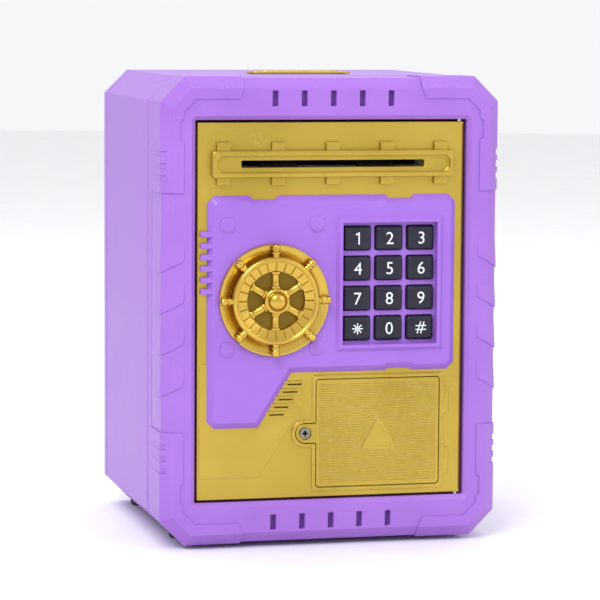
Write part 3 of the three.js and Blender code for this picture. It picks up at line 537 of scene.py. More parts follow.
# ---- Rear case ----------------------------------------------------------------------------------
# The deep box behind the frame, moulded in the same purple plastic and open at its front. Its wall
# has two grooves near the front seam and one near the back, and its back has four screw wells.
REAR_LOW, REAR_HIGH = node_box("rear_case")
SHELL = 2.5
REAR_FRONT = REAR_LOW[1] - CASE[1]
REAR_BACK = REAR_HIGH[1] - CASE[1]
GROOVE_DEPTH, BACK_ROUND = 0.55, 2.2
WELL_X, WELL_INSET = 66.0, 10.0
WELL_RADIUS, WELL_LIP, WELL_DEPTH = 2.9, 0.3, 6.0
POST_RADIUS = 4.0
rear_outline = chamfered(REAR_HIGH[0], REAR_LOW[2], REAR_HIGH[2], CHAMFER - 0.3)


def case_wall():
    """The outer wall's path, seen from behind, so that the back face is at 0: from the open front
    edge over a small chamfer and three trapezoidal grooves to the round edge of the back."""
    length = REAR_BACK - REAR_FRONT
    path = [(-SHELL, length), (-0.3, length), (0, length - 0.3)]
    for groove in (length - 6.0, length - 9.5, 9.0):
        path += [(0, groove + 0.7), (-GROOVE_DEPTH, groove + 0.3), (-GROOVE_DEPTH, groove - 0.3),
                 (0, groove - 0.7)]
    return path + rim(BACK_ROUND, 0.0, 6)


wells = [(x, z) for x in (-WELL_X, WELL_X) for z in (BODY_LOW + WELL_INSET, BODY_HIGH - WELL_INSET)]
circle = np.linspace(0, 2 * math.pi, 33)[:-1]


def disc(x, z, radius):
    """A round outline about (x, z), anticlockwise from the front."""
    return np.column_stack([x + radius * np.cos(circle), z + radius * np.sin(circle)])


TURN = 48


def turned(profile, columns=TURN):
    """A profile of (radius, y) turned about the Y axis. It runs from the back to the front, outside
    first, and a radius of 0 closes the middle."""
    angle = np.linspace(0, 2 * math.pi, columns + 1)[:-1]
    radius, y = np.asarray(profile, float).T
    points = np.stack([np.outer(radius, np.cos(angle)), np.repeat(y[:, None], columns, 1),
                       np.outer(radius, np.sin(angle))], 2)
    return points.reshape(-1, 3), grid_faces(len(radius), columns, True)


COIN_Y = 62.0
COIN_HOLE = (21.0, 5.5)  # half length and half width of the hole under the coin slot's plate
rear_parts = [skirt(rear_outline, case_wall()),
              cap(0.0, grown(rear_outline, -BACK_ROUND),
                 *[disc(x, z, WELL_RADIUS + WELL_LIP) for x, z in wells])]
for x, z in wells:
    well = disc(x, z, WELL_RADIUS)
    rear_parts += [skirt(well, mouth(WELL_LIP, 0.0) + [(0, WELL_DEPTH)]), cap(WELL_DEPTH, well)]
rear_parts = [placed(about_face(part), 0, REAR_BACK, 0) for part in rear_parts]
inside = [(-SHELL, REAR_FRONT), (-SHELL, REAR_BACK - SHELL)]
inner = grown(rear_outline, -SHELL)
rear_parts += [skirt(rear_outline, inside), cap(REAR_BACK - SHELL, inner)]
hole_low, hole_high = (np.array([0, COIN_Y]) + np.multiply(side, COIN_HOLE) for side in (-1, 1))
for top in (REAR_HIGH[2], REAR_HIGH[2] - SHELL):
    rear_parts = [p for part in rear_parts for p in pierced(part, 2, top, hole_low, hole_high)]
rear_parts.append(tunnel(2, hole_low, hole_high, REAR_HIGH[2], REAR_HIGH[2] - SHELL))
post_front, post_back = REAR_FRONT + 1.7, REAR_BACK - 1
post = [(0, post_back), (POST_RADIUS, post_back)]
post += [(POST_RADIUS + growth, y) for growth, y in rim(0.3, post_front)] + [(0, post_front)]
rear_parts += [placed(turned(post), x, 0, z) for x, z in wells]
piece("rear_case_shell", rear_parts, CASE, case_plastic, "case", ["rear_case"])
door_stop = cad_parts["door_stop"].data
door_stop.materials.clear()
door_stop.materials.append(case_plastic)

# ---- Coin slot plate ----------------------------------------------------------------------------
# A stepped plate pressed into the top of the case, with a rounded lip round the slot and a short
# chute under it. It is moulded in plastic and painted in the door's satin gold.
door_gold = finish("satin gold paint", (0.530, 0.375, 0.060), (0.440, 0.305, 0.042),
                   (0.90, 0.72, 0.30), 0.34, metallic=0.8, grain=5200.0, bump=0.05, wear_and_highlight=0.55,
                   gloss_drift=0.06)
BEZEL_LOW, BEZEL_HIGH = node_box("coin_slot_bezel")
bezel_half = (BEZEL_HIGH - BEZEL_LOW)[:2] / 2
slot_half = bezel_half - [7, 5]
BEZEL_BACK, BEZEL_STEP, LIP_WIDTH, LIP_ROUND, CHUTE = 1.2, 0.3, 2.6, 0.8, 9.0


def laid_on_top(part, height):
    """A part made facing the front, tipped to face up, with its face at a height."""
    points = part[0]
    return np.column_stack([points[:, 0], COIN_Y + points[:, 2], height - points[:, 1]]), part[1]


bezel_outline = filleted(rectangle(-bezel_half[0], bezel_half[0], -bezel_half[1], bezel_half[1]),
                         2.2)
coin_slot = filleted(rectangle(-slot_half[0], slot_half[0], -slot_half[1], slot_half[1]), 1.2)
lip = grown(coin_slot, LIP_WIDTH)
bezel = [skirt(bezel_outline, [(-1.0, BEZEL_BACK), (0, BEZEL_BACK), (0, 0.75)]
               + rim(0.45, BEZEL_STEP)),
         cap(BEZEL_STEP, grown(bezel_outline, -0.45), lip),
         skirt(lip, [(0, BEZEL_STEP)] + rim(0.3, 0.0)),
         cap(0.0, grown(lip, -0.3), grown(coin_slot, LIP_ROUND)),
         skirt(coin_slot, mouth(LIP_ROUND, 0.0, 5) + [(0, CHUTE), (2.4, CHUTE), (2.4, BEZEL_BACK)]),
         flipped(cap(BEZEL_BACK, grown(bezel_outline, -1.0), grown(coin_slot, 2.4)))]
piece("coin_slot_plate", [laid_on_top(part, BEZEL_HIGH[2]) for part in bezel], CASE, door_gold,
      "case", ["coin_slot_bezel"])

# ---- Feet, screws, hinge pins and keeper --------------------------------------------------------
# Four soft rubber pads carry the case. Cross-head screws with low domed heads hold the case and the
# door together, and the hinge pins and the bolt's keeper are plated steel.
rubber = finish("black rubber", (0.028, 0.028, 0.030), (0.018, 0.018, 0.020), (0.06, 0.06, 0.06),
                0.72, grain=3200.0, bump=0.25, dusty=0.4)
steel = finish("zinc plated steel", (0.62, 0.62, 0.64), (0.48, 0.48, 0.50), (0.80, 0.80, 0.82),
               0.28, metallic=1.0, grain=4200.0, bump=0.05, gloss_drift=0.16, dusty=0.1)
screw_steel = finish("dull screw steel", (0.34, 0.32, 0.28), (0.24, 0.23, 0.20), (0.62, 0.60, 0.56),
                     0.38, metallic=1.0, grain=4200.0, bump=0.08, gloss_drift=0.12)
feet = []
foot_nodes = [f"foot_{end}_{side}" for end in ("front", "rear") for side in ("left", "right")]
for name in foot_nodes:
    low, high = node_box(name)
    radius = (high - low)[0] / 2
    sole = [(0, high[2]), (radius, high[2])] + [(radius + g, y) for g, y in rim(0.8, 0.0)]
    points, faces = turned(sole + [(radius - 2.2, 0.0), (radius - 2.6, 0.35), (0, 0.35)])
    centre = (low + high) / 2 - CASE
    feet.append((np.column_stack([points[:, 0] + centre[0], centre[1] - points[:, 2],
                                  points[:, 1]]), faces))
piece("rubber_feet", feet, CASE, rubber, "case", foot_nodes)


def cross_head(radius, dome=0.5):
    """A screw's head facing the front, its rim at y = 0: a dome whose height falls with the square
    of the radius, round a cross-shaped recess with a flat floor."""
    arm, half = radius * 0.62, radius * 0.19
    cross = np.array([[half, -arm], [half, -half], [arm, -half],
                      [arm, half], [half, half], [half, arm],
                      [-half, arm], [-half, half], [-arm, half],
                      [-arm, -half], [-half, -half], [-half, -arm]])
    crown = [(radius * k, -dome * (1 - k * k)) for k in (1.0, 0.97, 0.9, 0.8, 0.74)]
    face_y = crown[-1][1]
    ring = disc(0, 0, crown[-1][0])
    return [turned([(0, 0.6), (radius, 0.6)] + crown, 32), cap(face_y, ring, cross),
            skirt(cross, [(0, face_y), (-0.1, 0.5)]), cap(0.5, grown(cross, -0.1))]


def screw(radius, length):
    """A cross head and its plain shank, which runs back from the head."""
    return [*cross_head(radius), turned([(0, length), (1.1, length), (1.1, 0.5), (0, 0.5)], 12)]


case_screws = [f"case_screw_{level}_{side}" for level in ("lower", "upper")
               for side in ("left", "right")]
for name in case_screws:
    low, high = node_box(name)
    x, y, z = ((low + high) / 2)[0], high[1] - 0.4, ((low + high) / 2)[2]
    parts = [placed(about_face(part), x, y - CASE[1], z) for part in screw((high - low)[0] / 2, 9)]
    piece(name.replace("screw", "screw_head"), parts, CASE, screw_steel, "case", [name])


def recoat(material, *names):
    """Gives CAD nodes that keep their own shape a material."""
    for name in names:
        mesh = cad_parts[name].data
        mesh.materials.clear()
        mesh.materials.append(material)


recoat(steel, "hinge_pin_upper", "hinge_pin_lower", "latch_keeper")

# ---- Door skin ----------------------------------------------------------------------------------
# The gold door's front: a moulded tray with a rounded hinge edge. A low step crosses its lower
# left, ribs and vent slits stand beside the panel's leg, and a raised double border frames the
# battery bay.
DOOR_X = DOOR_HIGH[0]
DOOR_TOP = DOOR_HIGH[2] - DOOR_LOW[2]
DOOR_DEPTH = 22.0
SKIN_DEPTH, SIDE_WALL = 2.2, 2.0  # the thickness of the door's front and of its sides
RIB_RIGHT, RIB_LENGTH, RIB_SHIFT, RIB_Z, RIB_PITCH = -12.6, 14.0, 2.0, 50.1, 3.3
VENT_LENGTH = 7.0
BAY = dict(left=-6.6, right=49.4, low=4.4, high=51.9)
LOBE = (-11.5, 28.3, 4.3)
SLOT_Z = node_box("slot_cover")[0][2] - DOOR[2] + 9.2
NOTE_SLOT = rectangle(-41, 41, SLOT_Z - 1.5, SLOT_Z + 1.5)
KNOB = (node_box("knob_flange")[0] + node_box("knob_flange")[1]) / 2 - DOOR


def bay_outline(grow, corner, step=0.0):
    """The battery bay's outline with the screw's lobe at its left, grown all round. A step widens
    the right side between two heights, as the border does."""
    low, high, right = BAY["low"] - grow, BAY["high"] + grow, BAY["right"] + grow
    left, r = BAY["left"] - grow, LOBE[2] + grow
    x, z = LOBE[:2]
    right_side = [[right, low], [right, high]]
    radii = [corner, corner]
    if step:
        right_side = [[right, low], [right, 8.6], [right + step, 8.6], [right + step, 20.7],
                      [right, 20.7], [right, 35.6], [right + step, 35.6], [right + step, 47.65],
                      [right, 47.65], [right, high]]
        radii = [corner] + [0.5] * 8 + [corner]
    points = [[left, low], *right_side, [left, high], [left, z + r], [x - r, z + r], [x - r, z - r],
              [left, z - r]]
    return filleted(points, [corner, *radii, corner, 0.6, r - 0.01, r - 0.01, 0.6], 8)


vents = []
ribs = []
for i in range(5):
    right, z = RIB_RIGHT - RIB_SHIFT * i, RIB_Z - RIB_PITCH * i
    vents.append(filleted(rectangle(right - VENT_LENGTH, right - 0.6, z - 0.3, z + 0.12), 0.2, 3))
    rib = filleted(rectangle(right - RIB_LENGTH, right, z + 0.25, z + 1.75), 0.7, 5)
    ribs += pad(rib, -0.2, -1.0, 0.6)
door_edge = filleted(rectangle(-DOOR_X, DOOR_X, 0, DOOR_TOP), 0.8, 5)
edge_radius = np.where(door_edge[:, 0] > DOOR_X - 0.5, 2.0, 0.6)
step_line = filleted([[-59.2, 9.5], [-32.4, 9.5], [-16.6, 34.0], [-7.3, 34.0], [-7.3, 60.0],
                      [-59.2, 60.0]], 0.5)
bay_hole = bay_outline(0.22, 1.6)
STEP = 0.4
BORDER_FRONT = -0.85
keys = {name: (node_box(name)[0] + node_box(name)[1]) / 2 - DOOR
        for name in sorted(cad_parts) if name.startswith("key_")}  # each key's own middle
key_places = np.array(list(keys.values()))[:, [0, 2]]
KEYPAD = (key_places.min(0) + key_places.max(0)) / 2
KEYPAD_HALF = np.array([21.35, 26.7])
well_edge = rectangle(*np.stack([KEYPAD - KEYPAD_HALF, KEYPAD + KEYPAD_HALF], 1).ravel())
skin_holes = [grown(NOTE_SLOT, 0.5), bay_hole, disc(KNOB[0], KNOB[2], 3.4), grown(well_edge, 0.9),
              *vents]
border = bay_outline(2.0, 1.4, step=2.4)
front_edge = [(edge_radius * growth, edge_radius * y) for growth, y in rim(1.0, 0.0, 6)]
inner_edge = grown(rectangle(-DOOR_X, DOOR_X, 0, DOOR_TOP), -SIDE_WALL)
bolt_low, bolt_high = BOLT_LOW + [0.4, 0.4 - DOOR[2]], BOLT_HIGH - [0.4, 0.4 + DOOR[2]]
skin = [*pierced(skirt(door_edge, [(0, DOOR_DEPTH)] + front_edge), 0, -DOOR_X, bolt_low, bolt_high),
        *pierced(skirt(inner_edge, [(0, SKIN_DEPTH), (0, DOOR_DEPTH)]), 0, SIDE_WALL - DOOR_X,
                 bolt_low, bolt_high),
        tunnel(0, bolt_low, bolt_high, -DOOR_X, SIDE_WALL - DOOR_X),
        cap(0.0, grown(door_edge, -edge_radius), *skin_holes),
        flipped(cap(DOOR_DEPTH, door_edge, inner_edge)),
        flipped(cap(SKIN_DEPTH, inner_edge, *skin_holes))]
skin += [skirt(hole, [(0, 0.0), (0, SKIN_DEPTH)]) for hole in skin_holes]
skin += pad(step_line, 0.2, -STEP, 0.3, [grown(vent, 0.04) for vent in vents], 0.1)
skin += ribs
skin += pad(border, 0.2, BORDER_FRONT, 0.35, [grown(bay_hole, 0.04)], 0.3)
bead = bay_outline(1.15, 1.4)
skin.append(skirt(bead, [(0.2, -0.8), (0.14, -1.02), (0, -1.08), (-0.14, -1.02), (-0.2, -0.8),
                         (0.2, -0.8)]))
piece("door_skin", skin, DOOR, door_gold, "door", ["door_shell"])

# ---- Door panel ---------------------------------------------------------------------------------
# The smooth purple panel over the door: a bevelled plate with shallow notches, four low bosses, a
# row of side ribs, and a mitred ridge round the sunken lattice that the keys come through.
panel_plastic = finish("smooth purple panel plastic", (0.300, 0.125, 0.580), (0.270, 0.108, 0.540),
                       (0.46, 0.28, 0.72), 0.33, grain=1800.0, bump=0.03, coat=0.15, dusty=0.15)
PANEL_LOW, PANEL_HIGH = (corner - DOOR for corner in node_box("door_panel"))
EDGE = PANEL_HIGH[0]
PANEL_TOP = PANEL_HIGH[2]
PANEL_FRONT = -3.0
BEVEL = 2.7
NOTCH, TOP_NOTCH = 0.9, 1.7
PANEL_BOTTOM, LEG_BOTTOM = 55.3, 31.4
panel_outline = np.array([
    [-EDGE + 3.2, LEG_BOTTOM], [-32.8, LEG_BOTTOM], [-17.9, PANEL_BOTTOM], [24.5, PANEL_BOTTOM],
    [25.5, PANEL_BOTTOM + NOTCH], [35.5, PANEL_BOTTOM + NOTCH], [36.5, PANEL_BOTTOM],
    [EDGE - 3.2, PANEL_BOTTOM], [EDGE, PANEL_BOTTOM + 3.2], [EDGE, PANEL_TOP - 3.2],
    [EDGE - 3.2, PANEL_TOP],
    [37, PANEL_TOP], [35.3, PANEL_TOP - TOP_NOTCH], [25.7, PANEL_TOP - TOP_NOTCH], [24, PANEL_TOP],
    [-24, PANEL_TOP], [-25.7, PANEL_TOP - TOP_NOTCH], [-35.3, PANEL_TOP - TOP_NOTCH],
    [-37, PANEL_TOP],
    [-EDGE + 3.2, PANEL_TOP], [-EDGE, PANEL_TOP - 3.2], [-EDGE, LEG_BOTTOM + 3.2]])
RIDGE = 2.9
RIDGE_FRONT = -4.5
LATTICE = -0.5
key_holes = [filleted(rectangle(x - 6.25, x + 6.25, z - 5.4, z + 5.4), 0.9, 4)
             for x, z in key_places]
bevelled = filleted([[0, 0.0], [0, -0.45], [-BEVEL, PANEL_FRONT], [-BEVEL - 1, PANEL_FRONT]],
                    0.35, 4, closed=False)
ridge_path = filleted([[RIDGE, PANEL_FRONT], [RIDGE - 1.5, RIDGE_FRONT], [0.0, RIDGE_FRONT],
                       [0.0, LATTICE]],
                      [0, 0.35, 0.45, 0], 4, closed=False)
panel = [skirt(panel_outline, bevelled),
         cap(PANEL_FRONT, grown(panel_outline, -BEVEL - 1), grown(well_edge, RIDGE)),
         flipped(cap(0.0, panel_outline, well_edge)),
         skirt(well_edge, ridge_path),
         cap(LATTICE, well_edge, *[grown(hole, 0.4) for hole in key_holes]),
         skirt(well_edge, [(0, 1.1), (0, 0.0)]),
         flipped(cap(1.1, well_edge, *key_holes))]
panel += [skirt(hole, mouth(0.4, LATTICE) + [(0, 1.1)]) for hole in key_holes]
SIDE_RIB_TOP, SIDE_RIB_PITCH, SIDE_RIB_HEIGHT, SIDE_RIB_END = 117.5, 4.95, 2.4, -51.5
for i in range(6):
    top = SIDE_RIB_TOP - SIDE_RIB_PITCH * i
    side_rib = rectangle(PANEL_LOW[0], SIDE_RIB_END, top - SIDE_RIB_HEIGHT, top)
    panel += pad(filleted(side_rib, 0.35, 3), -0.05, -2.75, 0.3)
BOSS = [(0, 0.1), (3.4, 0.1), (3.25, 0), (3.15, -0.55), (2.9, -0.7),
        (0, -0.7)]  # from the panel's face
boss = turned([(radius, PANEL_FRONT + y) for radius, y in BOSS])
panel += [placed(boss, x, 0, z) for x in (-47.3, -7.4) for z in (66.4, 120.3)]
piece("door_panel_face", panel, DOOR, panel_plastic, "door", ["door_panel"])

# ---- Keys ---------------------------------------------------------------------------------------
# Twelve pillow-shaped black keys moulded in plastic, with a flange that keeps each one behind the
# panel's lattice. Their white printed signs are the digits, a star and a hash.
key_plastic = finish("black key plastic", (0.016, 0.014, 0.030), (0.011, 0.010, 0.022),
                     (0.07, 0.07, 0.09), 0.36, grain=3000.0, bump=0.08, wear_and_highlight=0.3, dusty=0.1,
                     shine=0.3)
key_paint = finish("white key print", (0.70, 0.76, 0.79), (0.64, 0.70, 0.73), (0.50, 0.54, 0.58),
                   0.45, grain=4000.0, bump=0.05, wear_and_highlight=0.35, dusty=0.1)
KEY_HALF = np.array([5.95, 5.1])
CROWN, CROWN_POWER = 0.75, 3.5
KEY_FRONT = -3.1
PRINT_DEPTH, PRINT_PROUD = 0.1, 0.03
DIGIT_HEIGHT, STAR_ARM = 5.3, 2.4


def crown_y(x, z):
    """A key's face: it falls by CROWN times the distance from the middle along each side, as a part
    of the half side, to the power CROWN_POWER. So it is flat in the middle and rolls over at the
    edges."""
    fall = np.abs(x / KEY_HALF[0]) ** CROWN_POWER + np.abs(z / KEY_HALF[1]) ** CROWN_POWER
    return KEY_FRONT + CROWN * fall


def key_body():
    """Straight sides, a round shoulder, then rings that shrink to the middle of the crowned
    face."""
    outline = filleted(rectangle(-KEY_HALF[0], KEY_HALF[0], -KEY_HALF[1], KEY_HALF[1]), 1.1, 5)
    rings = [lifted(outline, 2.6), lifted(outline, -1.0)]
    for growth, drop in rim(0.55, 0.0, 5)[1:]:
        ring = grown(outline, growth)
        rings.append(lifted(ring, crown_y(*ring.T) + drop))
    shrink = rings[-1]
    for k in (0.94, 0.86, 0.75, 0.6, 0.4, 0.2, 0.0):
        ring = shrink[:, [0, 2]] * k
        rings.append(lifted(ring, crown_y(*ring.T)))
    rings[1][:, 1] = np.minimum(rings[1][:, 1], rings[2][:, 1] + 0.6)
    flange = filleted(rectangle(-6.5, 6.5, -5.65, 5.65), 0.8, 3)
    return [(np.concatenate(rings), grid_faces(len(rings), len(outline), True)),
            flipped(cap(2.6, outline)), *pad(flange, 2.8, 1.7, 0.2)]


def stroke(x0, z0, x1, z1, width):
    """A printed stroke between two points: a rectangle along the line."""
    along = np.array([x1 - x0, z1 - z0], float)
    side = np.array([along[1], -along[0]]) / np.linalg.norm(along) * width / 2
    a, b = np.array([x0, z0]), np.array([x1, z1])
    return np.array([a - side, a + side, b + side, b - side])


def sign(name):
    """The flat outline mesh of a key's sign as points in X and Z and triangles: strokes for the
    star and the hash, and a text's own mesh for a digit."""
    if name == "star":
        tips = [(STAR_ARM * math.cos(a), STAR_ARM * math.sin(a))
                for a in np.radians([0, 45, 90, 135])]
        bars = [stroke(-x, -z, x, z, 0.5) for x, z in tips]
    elif name == "1":
        bars = [stroke(0.35, -2.65, 0.35, 2.65, 0.62), stroke(-1.05, 1.55, 0.4, 2.45, 0.58)]
    elif name == "hash":
        bars = [stroke(-1.55 + s, -2.6, 0.05 + s, 2.6, 0.52) for s in (0, 1.55)]
        bars += [stroke(-2.3, z, 2.5, z, 0.5) for z in (-0.85, 0.85)]
    else:
        text = bpy.data.curves.new("digit", "FONT")
        text.body = name
        text.size = 7.4
        text.resolution_u = 6
        text.offset = -0.012
        text.fill_mode = "FRONT"
        holder = bpy.data.objects.new("digit", text)
        mesh = bpy.data.meshes.new_from_object(holder)
        bpy.data.objects.remove(holder)
        mesh.calc_loop_triangles()
        flat = np.array([v.co[:2] for v in mesh.vertices], float)
        faces = np.array([t.vertices[:] for t in mesh.loop_triangles])
        flat -= (flat.min(0) + flat.max(0)) / 2
        flat *= DIGIT_HEIGHT / np.ptp(flat[:, 1])
        return flat, faces
    flat = np.concatenate(bars)
    quads = np.arange(len(flat)).reshape(-1, 4)
    return flat, np.concatenate([quads[:, :3], quads[:, [0, 2, 3]]])


def divided(points, faces, times):
    """Each triangle cut into four through the middles of its edges, a number of times."""
    for _ in range(times):
        a, b, c = (points[faces[:, k]] for k in range(3))
        count = len(faces)
        points = np.concatenate([a, b, c, (a + b) / 2, (b + c) / 2, (c + a) / 2])
        a, b, c, ab, bc, ca = (np.arange(count) + count * k for k in range(6))
        faces = np.concatenate([np.column_stack(f)
                                for f in ((a, ab, ca), (ab, b, bc), (ca, bc, c), (ab, bc, ca))])
    return points, faces


def embossed(flat, faces, y, depth):
    """A closed print: a flat mesh at height y over each point, its copy depth behind, and walls
    along the edges that only one triangle has."""
    flat, where = np.unique(flat.round(5), axis=0, return_inverse=True)
    faces = where.reshape(-1)[faces]
    a, b, c = faces.T
    faces = faces[(a != b) & (b != c) & (c != a)]
    edges = np.concatenate([faces[:, [0, 1]], faces[:, [1, 2]], faces[:, [2, 0]]])
    known = {tuple(edge) for edge in edges.tolist()}
    loose = np.array([edge for edge in edges.tolist() if (edge[1], edge[0]) not in known])
    count = len(flat)
    front = np.column_stack([flat[:, 0], y(*flat.T), flat[:, 1]])
    walls = np.column_stack([loose[:, ::-1], loose + count])
    solid = [*faces.tolist(), *(faces[:, ::-1] + count).tolist(), *walls.tolist()]
    return np.concatenate([front, front + [0, depth, 0]]), solid


body_parts = key_body()
for node, (x, _, z) in keys.items():
    name = node[4:]
    piece(f"{node}_cap", [placed(part, x, 0, z) for part in body_parts], DOOR, key_plastic, node,
          [node])
    flat, faces = divided(*sign(name), 3)
    printed = embossed(flat, faces, crown_y, PRINT_DEPTH)
    piece(f"{node}_sign", [placed(printed, x, -PRINT_PROUD, z)], DOOR, key_paint, node)

# ---- Banknote slot cover ------------------------------------------------------------------------
# A long gold bar with a round edge and a bevelled pocket round the slot, held by five clips that
# show above and below it.
BAR_FRONT, POCKET_FRONT, CLIP_FRONT = -4.3, -2.2, -2.0
BAR_HALF_H, POCKET_HALF_W, POCKET_HALF_H = 5.85, 52.3, 3.65
CLIP_PITCH, CLIP_WIDTH, FIRST_CLIP = 24.4, 6.1, -51.85
cover_half = node_box("slot_cover")[1][0]
bar = filleted(rectangle(-cover_half, cover_half, SLOT_Z - BAR_HALF_H, SLOT_Z + BAR_HALF_H), 1.5)
pocket = chamfered(POCKET_HALF_W, SLOT_Z - POCKET_HALF_H, SLOT_Z + POCKET_HALF_H, 1.8)
pocket = filleted(pocket, 0.6, 3)
bar_slot = filleted(NOTE_SLOT, 0.5, 4)
pocket_wall = [(0.35, BAR_FRONT), (0.12, BAR_FRONT + 0.1), (0, BAR_FRONT + 0.35),
               (-0.15, POCKET_FRONT - 0.15), (-0.35, POCKET_FRONT)]
cover = [skirt(bar, [(-1, -0.3), (0, -0.3)] + rim(0.8, BAR_FRONT, 5)),
         cap(BAR_FRONT, grown(bar, -0.8), grown(pocket, 0.35)),
         skirt(pocket, pocket_wall),
         cap(POCKET_FRONT, grown(pocket, -0.35), grown(bar_slot, 0.4)),
         skirt(bar_slot, mouth(0.4, POCKET_FRONT) + [(0, 2.0), (0.5, 2.0), (0.5, -0.3)]),
         flipped(cap(-0.3, grown(bar, -1), grown(bar_slot, 0.5)))]
for i in range(5):
    for low, high in ((SLOT_Z - 9.2, SLOT_Z - 5), (SLOT_Z + 5, SLOT_Z + 9.4)):
        left = FIRST_CLIP + CLIP_PITCH * i
        clip = filleted(rectangle(left, left + CLIP_WIDTH, low, high), 0.5, 3)
        cover += pad(clip, -0.35, CLIP_FRONT, 0.35)
piece("slot_cover_bar", cover, DOOR, door_gold, "door", ["slot_cover"])

# ---- Knob ---------------------------------------------------------------------------------------
# A bright gold ship's wheel before a dished ring: a beaded rim, a sloping ring with radial grooves,
# six columns round a domed hub, and eight pegs. All of it is turned profiles.
bright_gold = finish("bright gold metallised plastic", (0.64, 0.43, 0.080), (0.55, 0.36, 0.060),
                     (0.90, 0.72, 0.30), 0.25, metallic=1.0, grain=6000.0, bump=0.025, wear_and_highlight=0.5,
                     gloss_drift=0.08, dusty=0.1)
dish = [(3.4, -3.3), (24.4, -3.3), (24.4, -4.4), (24.25, -4.75), (23.9, -4.9), (23.5, -4.85),
        (20.2, -3.75), (19.6, -3.6), (3.4, -3.6), (3.4, -3.3)]
piece("knob_dish", [placed(turned(dish, 96), KNOB[0], 0, KNOB[2])], DOOR, bright_gold, "door",
      ["knob_flange"])
GROOVES, COLUMNS_PER_GROOVE, GROOVE_CUT = 24, 10, 0.5
SPOKES, PEGS = 6, 8
wheel_profile = [(0, -5.2), (18.2, -5.2), (19.0, -5.7), (19.2, -6.4), (19.2, -8.2), (19.0, -8.7),
                 (18.6, -9.05), (18.1, -9.2), (17.7, -9.1), (17.4, -8.85), (17.3, -8.5),
                 (17.1, -8.5), (16.9, -8.7), (13.3, -7.85), (12.9, -7.7), (12.7, -7.4),
                 (12.6, -6.4), (12.5, -5.6), (5.6, -5.6), (5.6, -9.2), (5.4, -9.8), (4.9, -10.15),
                 (4.4, -10.2), (4.2, -10.0), (4.1, -9.7), (3.8, -9.9), (3.7, -10.6), (3.5, -11.2),
                 (3.0, -11.8), (2.2, -12.25), (1.2, -12.53), (0, -12.6)]
wheel_columns = GROOVES * COLUMNS_PER_GROOVE
wheel, wheel_faces = turned(wheel_profile, wheel_columns)
rings = wheel.reshape(len(wheel_profile), wheel_columns, 3)
for row, (radius, y) in enumerate(wheel_profile):
    if 13 < radius < 17 and y < -7.8:
        rings[row, ::COLUMNS_PER_GROOVE, 1] += GROOVE_CUT


def standing(profile, y, columns=24):
    """A turned part stood upright about the Z axis at depth y. Its profile is (radius, z),
    downwards."""
    points, faces = turned(profile, columns)
    return np.column_stack([points[:, 0], y - points[:, 2], points[:, 1]]), faces


def spun(part, angle):
    """The part turned about the Y axis."""
    x, y, z = part[0].T
    cos, sin = math.cos(angle), math.sin(angle)
    return np.column_stack([x * cos + z * sin, y, z * cos - x * sin]), part[1]


column = [(0, 12.7), (2.3, 12.7), (2.4, 12.2), (2.3, 11.8), (1.85, 11.5), (1.7, 11.0), (1.7, 7.1),
          (1.85, 6.6), (2.3, 6.3), (2.4, 5.9), (2.3, 5.5), (0, 5.5)]
peg = [(0, 24.6), (1.0, 24.5), (1.6, 24.1), (1.85, 23.5), (1.85, 22.0), (1.5, 21.5), (1.45, 21.3),
       (1.85, 21.1), (1.9, 20.7), (1.8, 20.3), (1.4, 20.1), (1.4, 18.0), (0, 18.0)]
wheel_parts = [(rings.reshape(-1, 3), wheel_faces)]
wheel_parts += [spun(standing(column, -6.3), math.radians(360 / SPOKES * i)) for i in range(SPOKES)]
wheel_parts += [spun(standing(peg, -7.2), math.radians(360 / PEGS * i)) for i in range(PEGS)]
piece("knob_ships_wheel", [placed(part, KNOB[0], 0, KNOB[2]) for part in wheel_parts], DOOR,
      bright_gold, "knob", ["knob_wheel"])

# Painted shade: a dark gold disc on the floor of the wheel's recess, between the hub and the rim,
# darker than the wheel's own gold, stands in for the shade and dark reflection in that hollow.
shadow_gold = finish("painted shade recess gold", (0.22, 0.135, 0.018), (0.16, 0.095, 0.012),
                     (0.36, 0.24, 0.06), 0.42, metallic=0.9, grain=6000.0, dusty=0.3)
recess = turned([(12.45, -5.6), (12.45, -5.7), (5.65, -5.7), (5.65, -5.6), (12.45, -5.6)], 96)
piece("knob_recess_painted_shade", [placed(recess, KNOB[0], 0, KNOB[2])], DOOR, shadow_gold, "knob")

# ---- Battery door -------------------------------------------------------------------------------
# The gold lid over the battery bay, finely ribbed across, with a raised plain triangle, and a lobe
# at its left for the screw that holds it.
LID_FRONT, RIB_FLOOR = -0.6, -0.3
lid = bay_outline(0.0, 1.5)
RIBBED = (-5.3, 47.9, 6.0, 50.0)  # the ribbed field's left, right, low and high edge
rib_z = [[z, z + 0.5, z + 0.6, z + 0.9] for z in np.arange(RIBBED[2], RIBBED[3] - 0.1, 1.0)]
rib_z = np.concatenate(rib_z + [[RIBBED[3]]])
rib_y = np.concatenate([np.tile([LID_FRONT, LID_FRONT, RIB_FLOOR, RIB_FLOOR], len(rib_z) // 4),
                        [LID_FRONT]])
ribbing = []
for x, y in ((RIBBED[0], LID_FRONT), (RIBBED[0] + 0.25, rib_y), (RIBBED[1] - 0.25, rib_y),
             (RIBBED[1], LID_FRONT)):
    ribbing.append(np.column_stack([np.full(len(rib_z), x), np.broadcast_to(y, len(rib_z)), rib_z]))
counterbore = disc(LOBE[0], LOBE[1], 2.9)
ribbing = np.stack(ribbing)
ribbed_hole = ribbing.reshape(-1, 3)[perimeter(4, len(rib_z))][:, [0, 2]]
lid_parts = [skirt(lid, [(-1, 1.2), (0, 1.2)] + rim(0.35, LID_FRONT)),
             cap(LID_FRONT, grown(lid, -0.35), ribbed_hole, grown(counterbore, 0.2)),
             flipped((ribbing.reshape(-1, 3), grid_faces(4, len(rib_z), False))),
             skirt(counterbore, mouth(0.2, LID_FRONT) + [(0, 0.9)]), cap(0.9, counterbore),
             flipped(cap(1.2, grown(lid, -1)))]
corners = np.array([[13.5, 20.4], [30.5, 20.4], [22.0, 35.5]])
